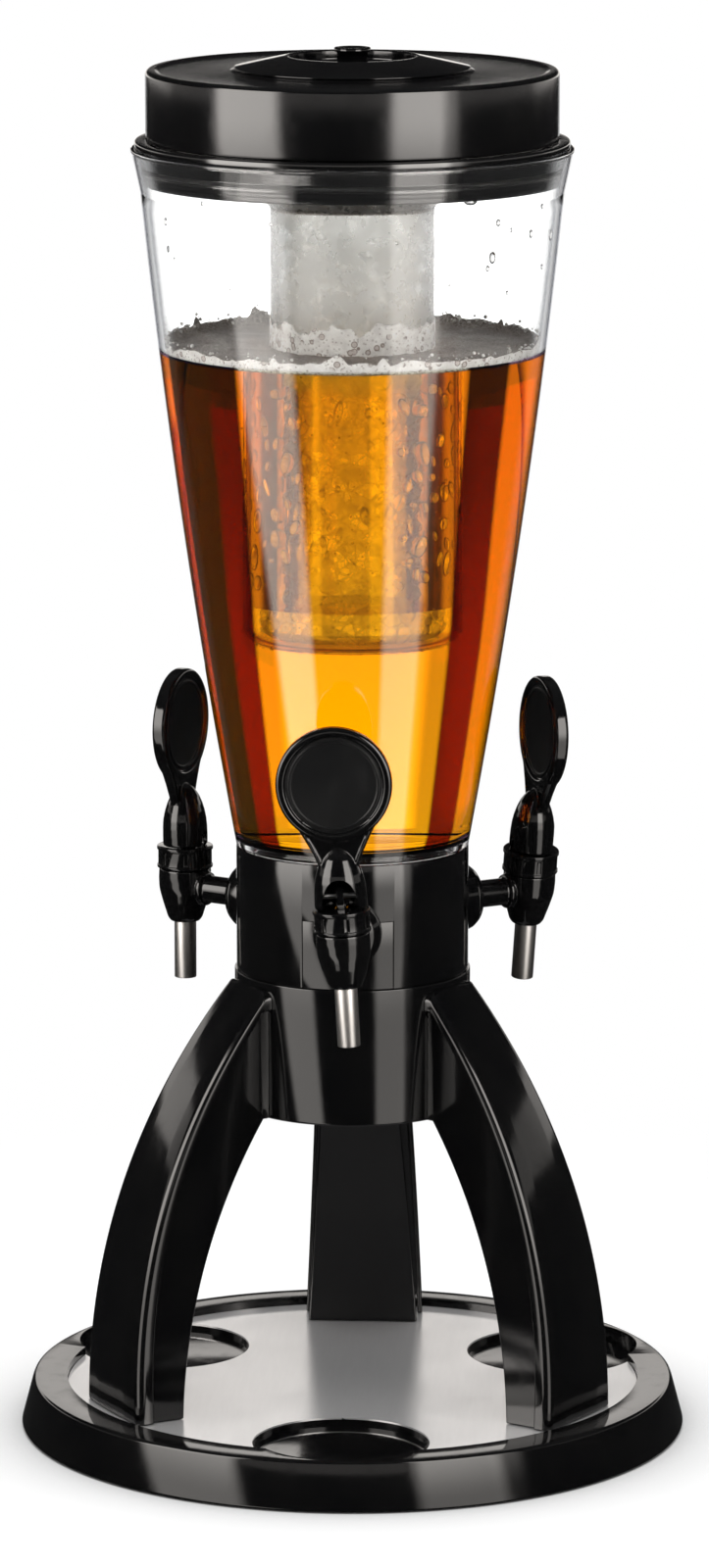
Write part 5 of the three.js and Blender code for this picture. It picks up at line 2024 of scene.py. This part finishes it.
    def _hollow(self) -> Shell:
        """The hood's inside."""
        outline = [
            (1.0, -0.2), (1.0, 0.28), (0.94, 0.45), (0.82, 0.6), (0.62, 0.76), (0.36, 0.9), (0.0, 0.97),
        ]
        wall = 2.0
        profile = [(0.0, -5.0)] + [
            (max(self.hood_radius * r - wall, 0), (self.hood_height - wall) * h) for r, h in outline
        ]
        return self._at_hood(turned(profile, 72))

    def _arch(self) -> Shell:
        """The pointed opening at the hood's front, as a cutter."""
        half, height = 8.3, 15.2
        outline = [(-half, -5.0), (half, -5.0), (half, 1.0)]
        for step in range(1, 13):
            share = step / 12
            outline.append((half * (1 - share ** 2.1), 1.0 + (height - 1.0) * math.sin(share * QUARTER)))
        outline += [(-x, z) for x, z in reversed(outline[3:-1])] + [(-half, 1.0)]
        rings = [
            [Vector((x, y, z + self.hood_bottom)) for x, z in outline] for y in (-self.hood_radius - 5, 0.0)
        ]
        return lofted(rings)

    def disc(self) -> bpy.types.Mesh:
        """The paddle's inlaid face with its raised ring, the same on both sides."""
        half = self.paddle_thickness / 2
        face = rounded([
            Corner(0, half - 1.25), Corner(19.9, half - 1.25, 0.4, 3), Corner(20.3, half - 0.75, 0.25, 3),
            Corner(21.1, half - 0.75, 0.25, 3), Corner(21.5, half - 1.25, 0.3, 3), Corner(22.5, half - 1.3),
        ])
        profile = face + [(radius, -height) for radius, height in reversed(face)]
        shell = turned(profile, 128).along_y()
        piece = Workshop.solid("paddle_face", shell)
        return self._kept(piece, self.finishes.recess)


class Taps:
    """The three taps, placed from the shared mouldings."""

    def __init__(self, finishes: Finishes) -> None:
        """Sets out the three taps and the maker of their shared mouldings.

        Args:
            finishes: the finishes.
        """
        self.parts = TapParts(finishes)
        self.finishes = finishes
        turn = 0.4 * DEGREE
        self.taps = [
            Tap(Side.FRONT, turn, -3.2 * DEGREE, 0.0),
            Tap(Side.LEFT, turn - THIRD, 0.0, 10 * DEGREE),
            Tap(Side.RIGHT, turn + THIRD, -7.6 * DEGREE, -9.5 * DEGREE),
        ]

    def build(self) -> None:
        """Places every moulding of every tap."""
        parts = self.parts
        body, spout, bonnet = parts.body(), parts.spout(), parts.bonnet()
        flange, lever, disc = parts.flange(), parts.lever(), parts.disc()
        for tap in self.taps:
            name = tap.side.value
            stand, moving, collar = Bodies.STAND.value, f"lever_{name}", tap.round_tower()
            barrel, upper = tap.place(False), tap.place(True)
            middle = upper @ in_metres(shift(y=-parts.paddle_offset, z=parts.paddle_rise))
            black = "gloss_black"
            self._set(f"tap_barrel_{name}", body, barrel, stand, black, f"tap_body_{name}")
            self._set(f"tap_spout_tube_{name}", spout, barrel, stand, "steel", f"tap_spout_{name}")
            self._set(f"tap_bonnet_ring_{name}", bonnet, upper, stand, black, f"tap_bonnet_{name}")
            self._set(f"tap_flange_dome_{name}", flange, collar, stand, black, f"tap_flange_{name}")
            self._set(f"tap_paddle_{name}", lever, upper, moving, black, f"tap_lever_{name}")
            self._set(f"paddle_face_{name}", disc, middle, moving, black)

    @staticmethod
    def _set(name: str, mesh: bpy.types.Mesh, place: Matrix, body: str, slot: str, *nodes: str) -> None:
        """Puts one moulding in place."""
        piece = bpy.data.objects.new(name, mesh)
        bpy.context.scene.collection.objects.link(piece)
        piece.matrix_world = place
        attach(piece, body, slot, *nodes)


# The studio

@dataclass(frozen=True)
class Board:
    """A lit board of the studio wall, seen only in polished surfaces.

    Angles are in degrees and heights in metres. Low down the board leans aside and narrows, and it grows
    lighter from low_light to high_light as it rises.
    """

    azimuth: float
    half_width: float
    bottom: float
    top: float
    low_light: float
    high_light: float
    soft: float = 2.5
    rise: float = 0.05
    lean: float = 0.0
    taper: float = 0.0


@dataclass
class Studio:
    """White floor, white background, soft light and the camera."""

    heading: float = 2.8
    camera_place: Colour = (0.16908, -3.43694, 0.9957)
    camera_dip: float = 11.215
    focal_length: float = 169.04
    backdrop_edge: Span = (0.955, 0.972)
    backdrop_top: Span = (0.0, 0.06)
    sky_from: Span = (0.55, 0.85)
    dims_from: Span = (0.40, 0.75)
    behind_from: Span = (0.62, 0.80)
    other_light: float = 0.62
    floor_fade: Span = (0.30, 0.62)
    floor_glow: float = 0.38
    contact_reach: float = 0.09
    straight_above: float = 0.33
    light_rise: Span = (0.05, 0.52)
    lamp_place: Colour = (0, -0.5, 2.4)
    lamp_tilt: float = 0.2
    lamp_size: float = 2.4
    lamp_power: float = 26
    wall_radius: float = 1300.0
    wall_bottom: float = -900.0
    wall_top: float = 1250.0
    tint: Colour = (1.0, 0.955, 0.91)
    boards: tuple[Board, ...] = (
        Board(-59.2, 19, -0.88, 1.20, 2.7, 6.9, 3.0, lean=26, taper=9),
        Board(35.5, 14.5, -0.88, 1.20, 2.2, 6.9, 3.0, lean=3),
        Board(53.0, 5, -0.88, 1.20, 0.2, 2.4, 3.0),
    )
    far_radius: float = 2000.0
    far_boards: tuple[Board, ...] = (
        Board(180.0, 62, 0.50, 0.77, 1.5, 1.5, 5.0, 0.015),
        Board(0.0, 118, 0.50, 0.77, 0.6, 0.6, 5.0, 0.015),
    )

    def build(self) -> None:
        """Builds the whole studio."""
        self._camera()
        self._world()
        self._floor()
        self._wall("near_boards", self.wall_radius, self.boards)
        self._wall("far_boards", self.far_radius, self.far_boards)
        self._overhead()
        self._renderer()

    def _camera(self) -> None:
        """The camera of the photograph."""
        lens = bpy.data.cameras.new("camera")
        lens.sensor_fit = "VERTICAL"
        lens.sensor_height = 36
        lens.lens = self.focal_length
        lens.clip_end = 60
        camera = bpy.data.objects.new("camera", lens)
        bpy.context.scene.collection.objects.link(camera)
        camera.location = self.camera_place
        camera.rotation_euler = ((90 - self.camera_dip) * DEGREE, 0, self.heading * DEGREE)
        bpy.context.scene.camera = camera

    def _world(self) -> None:
        """White for the camera and through glass, and dark in reflections but for a backdrop behind."""
        world = bpy.data.worlds.new("white_studio")
        world.use_nodes = True
        bpy.context.scene.world = world
        world.cycles.sampling_method = "NONE"
        world.node_tree.nodes.clear()
        sheet = Sheet(world.node_tree)
        output = sheet.tree.nodes.new("ShaderNodeOutputWorld")
        rays = sheet.add("LightPath")
        direction = sheet.add("TexCoord").out("Generated")
        rise = sheet.add("SeparateXYZ", {}, {0: direction}).out("Z")
        angle = self.heading * DEGREE
        away = (-math.sin(angle), math.cos(angle), 0.0)
        behind = sheet.add("VectorMath", {"operation": "DOT_PRODUCT"}, {0: direction, 1: away}).out("Value")
        camera, glossy = rays.out("Is Camera Ray"), rays.out("Is Glossy Ray")
        through = rays.out("Is Transmission Ray")
        inner = rays.out("Glossy Depth").clipped()
        backdrop = behind.step(*self.backdrop_edge) * (1.0 - rise.step(*self.backdrop_top))
        shine = backdrop * 0.9 + rise.step(*self.sky_from) * 0.06 + 0.02
        aside = inner * (1.0 - behind.step(*self.behind_from))
        clear = (0.97 - rise.step(*self.dims_from) * 0.62) * (1.0 - aside * 0.93)
        rest = 1.0 - (camera + glossy + through).clipped()
        unseen = 1.0 - camera
        strength = camera + glossy * unseen * shine + through * unseen * clear + rest * self.other_light
        background = sheet.add("Background", {}, {"Color": (1, 1, 1, 1), "Strength": strength})
        sheet.end(background, output)

    def _floor(self) -> None:
        """White floor that keeps the tower's shadow, with a painted contact shadow where ambient occlusion
        darkens its colour and glow, and fades into the background.
        """
        material, sheet, output = new_material("white_floor")
        place = sheet.add("TexCoord").out("Object")
        far = sheet.add("VectorMath", {"operation": "LENGTH"}, {0: place}).out("Value").step(*self.floor_fade)
        rays = sheet.add("LightPath")
        seen = (rays.out("Is Camera Ray") + rays.out("Is Transmission Ray")).clipped()
        # Painted shadow: ambient occlusion darkens the paper's colour and, squared, its glow near the tower.
        near = sheet.add("AmbientOcclusion", {"samples": 8}, {"Distance": self.contact_reach}).out("AO")
        mottle = sheet.noise(90, 3) * 0.06 + 0.94
        paper = sheet.add("BsdfDiffuse", {}, {
            "Color": sheet.blend(near * mottle, (0.40, 0.40, 0.40), (0.83, 0.83, 0.83)),
        })
        light = seen * near ** 2.0 * self.floor_glow
        glow = sheet.add("Emission", {}, {"Color": (1, 1, 1, 1), "Strength": light})
        lit = sheet.add("AddShader", {}, {0: paper.out(), 1: glow.out()})
        clear = sheet.add("BsdfTransparent", {}, {})
        hidden = (far + rays.out("Is Glossy Ray")).clipped()
        sheet.end(sheet.mixed(hidden, lit, clear), output)
        self._put_up("floor", turned([(0, 0), (300, 0), (700, 0)], 96), material)

    @staticmethod
    def _put_up(name: str, shell: Shell, material: bpy.types.Material) -> None:
        """Puts up one surface of the studio, which isn't sampled as a lamp."""
        material.cycles.emission_sampling = "NONE"
        piece = Workshop.solid(name, shell)
        Workshop.shade(piece, material, 180)

    def _wall(self, name: str, radius: float, boards: tuple[Board, ...]) -> None:
        """Round wall of lit boards that shows only in polished surfaces.

        Args:
            name: the wall's name.
            radius: how far it stands from the tower.
            boards: the boards on it.
        """
        ring = turned([(radius, self.wall_bottom), (radius, self.wall_top)], 96)
        material, sheet, output = new_material(name)
        across, depth, height = sheet.place()
        light: Signal | float = 0.0
        for board in boards:
            angle = (board.azimuth + self.heading) * DEGREE
            side = across * math.cos(angle) + depth * math.sin(angle)
            front = across * math.sin(angle) - depth * math.cos(angle)
            turn = sheet.add("Math", {"operation": "ARCTAN2"}, {0: side, 1: front}).out()
            drop = (self.straight_above - height).clipped()
            off = (turn - drop * (board.lean * DEGREE)).unsigned() + drop * (board.taper * DEGREE)
            edge, soft, rise = board.half_width * DEGREE, board.soft * DEGREE, board.rise
            shape = 1.0 - off.step(edge - soft, edge + soft)
            low, high = board.bottom, board.top
            shape = shape * height.band(low - rise, low + rise, high - rise, high + rise)
            level = height.step(*self.light_rise) * (board.high_light - board.low_light) + board.low_light
            light = shape * level + light
        glow = sheet.add("Emission", {}, {"Color": (*self.tint, 1.0), "Strength": light})
        clear = sheet.add("BsdfTransparent", {}, {})
        shown = sheet.add("LightPath").out("Is Glossy Ray") * (light * 20.0).clipped()
        sheet.end(sheet.mixed(shown, clear, glow), output)
        self._put_up(name, ring.moved(about_z(self.heading * DEGREE)), material)

    def _overhead(self) -> None:
        """A wide soft light above the set."""
        lamp = bpy.data.lights.new("overhead", "AREA")
        lamp.shape = "DISK"
        lamp.size = self.lamp_size
        lamp.energy = self.lamp_power
        light = bpy.data.objects.new("overhead", lamp)
        bpy.context.scene.collection.objects.link(light)
        light.location = self.lamp_place
        light.rotation_euler = (self.lamp_tilt, 0, 0)
        light.visible_camera = False
        light.visible_transmission = False
        light.visible_glossy = False

    @staticmethod
    def _renderer() -> None:
        """Colour view and ray depth."""
        scene = bpy.context.scene
        scene.view_settings.view_transform = "Standard"
        scene.cycles.max_bounces = 24
        scene.cycles.transmission_bounces = 24
        scene.cycles.glossy_bounces = 8
        scene.cycles.diffuse_bounces = 4
        scene.cycles.transparent_max_bounces = 24
        scene.cycles.use_denoising = True


def dress_kept_nodes(finishes: Finishes) -> None:
    """Gives the CAD nodes that stay in view their finish.

    Args:
        finishes: the finishes.
    """
    kinds: list[tuple[str, bpy.types.Material]] = [
        ("tray_pad_", finishes.rubber), ("tap_gasket_", finishes.rubber), ("tap_seat_", finishes.rubber),
        ("ice_cap_seal", finishes.rubber), ("ice_tube_seal", finishes.rubber),
        ("leg_screw_", finishes.zinc), ("hub_screw_", finishes.zinc), ("tap_pin_", finishes.zinc),
        ("tap_nut_", finishes.gloss), ("tap_plunger_", finishes.gloss),
    ]
    for name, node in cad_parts.items():
        for start, material in kinds:
            if name.startswith(start):
                node.data.materials.clear()
                node.data.materials.append(material)


def main() -> None:
    """Builds the studio and the tower, piece by piece."""
    logging.basicConfig(level=logging.INFO, format="%(name)s: %(message)s")
    Studio().build()
    finishes = Finishes()
    Tray().build(finishes)
    for side, turn in ((Side.LEFT, -THIRD / 2), (Side.RIGHT, THIRD / 2), (Side.REAR, math.pi)):
        Leg(side, turn).build(finishes)
    Hub().build(finishes)
    Collar().build(finishes)
    container = Container()
    container.build(finishes)
    Drink(container).build(finishes)
    Condensation(container).build(finishes)
    IceTube().build(finishes)
    Lid().build(finishes)
    IceCap().build(finishes)
    Taps(finishes).build()
    dress_kept_nodes(finishes)


if __name__ == "__main__":
    main()
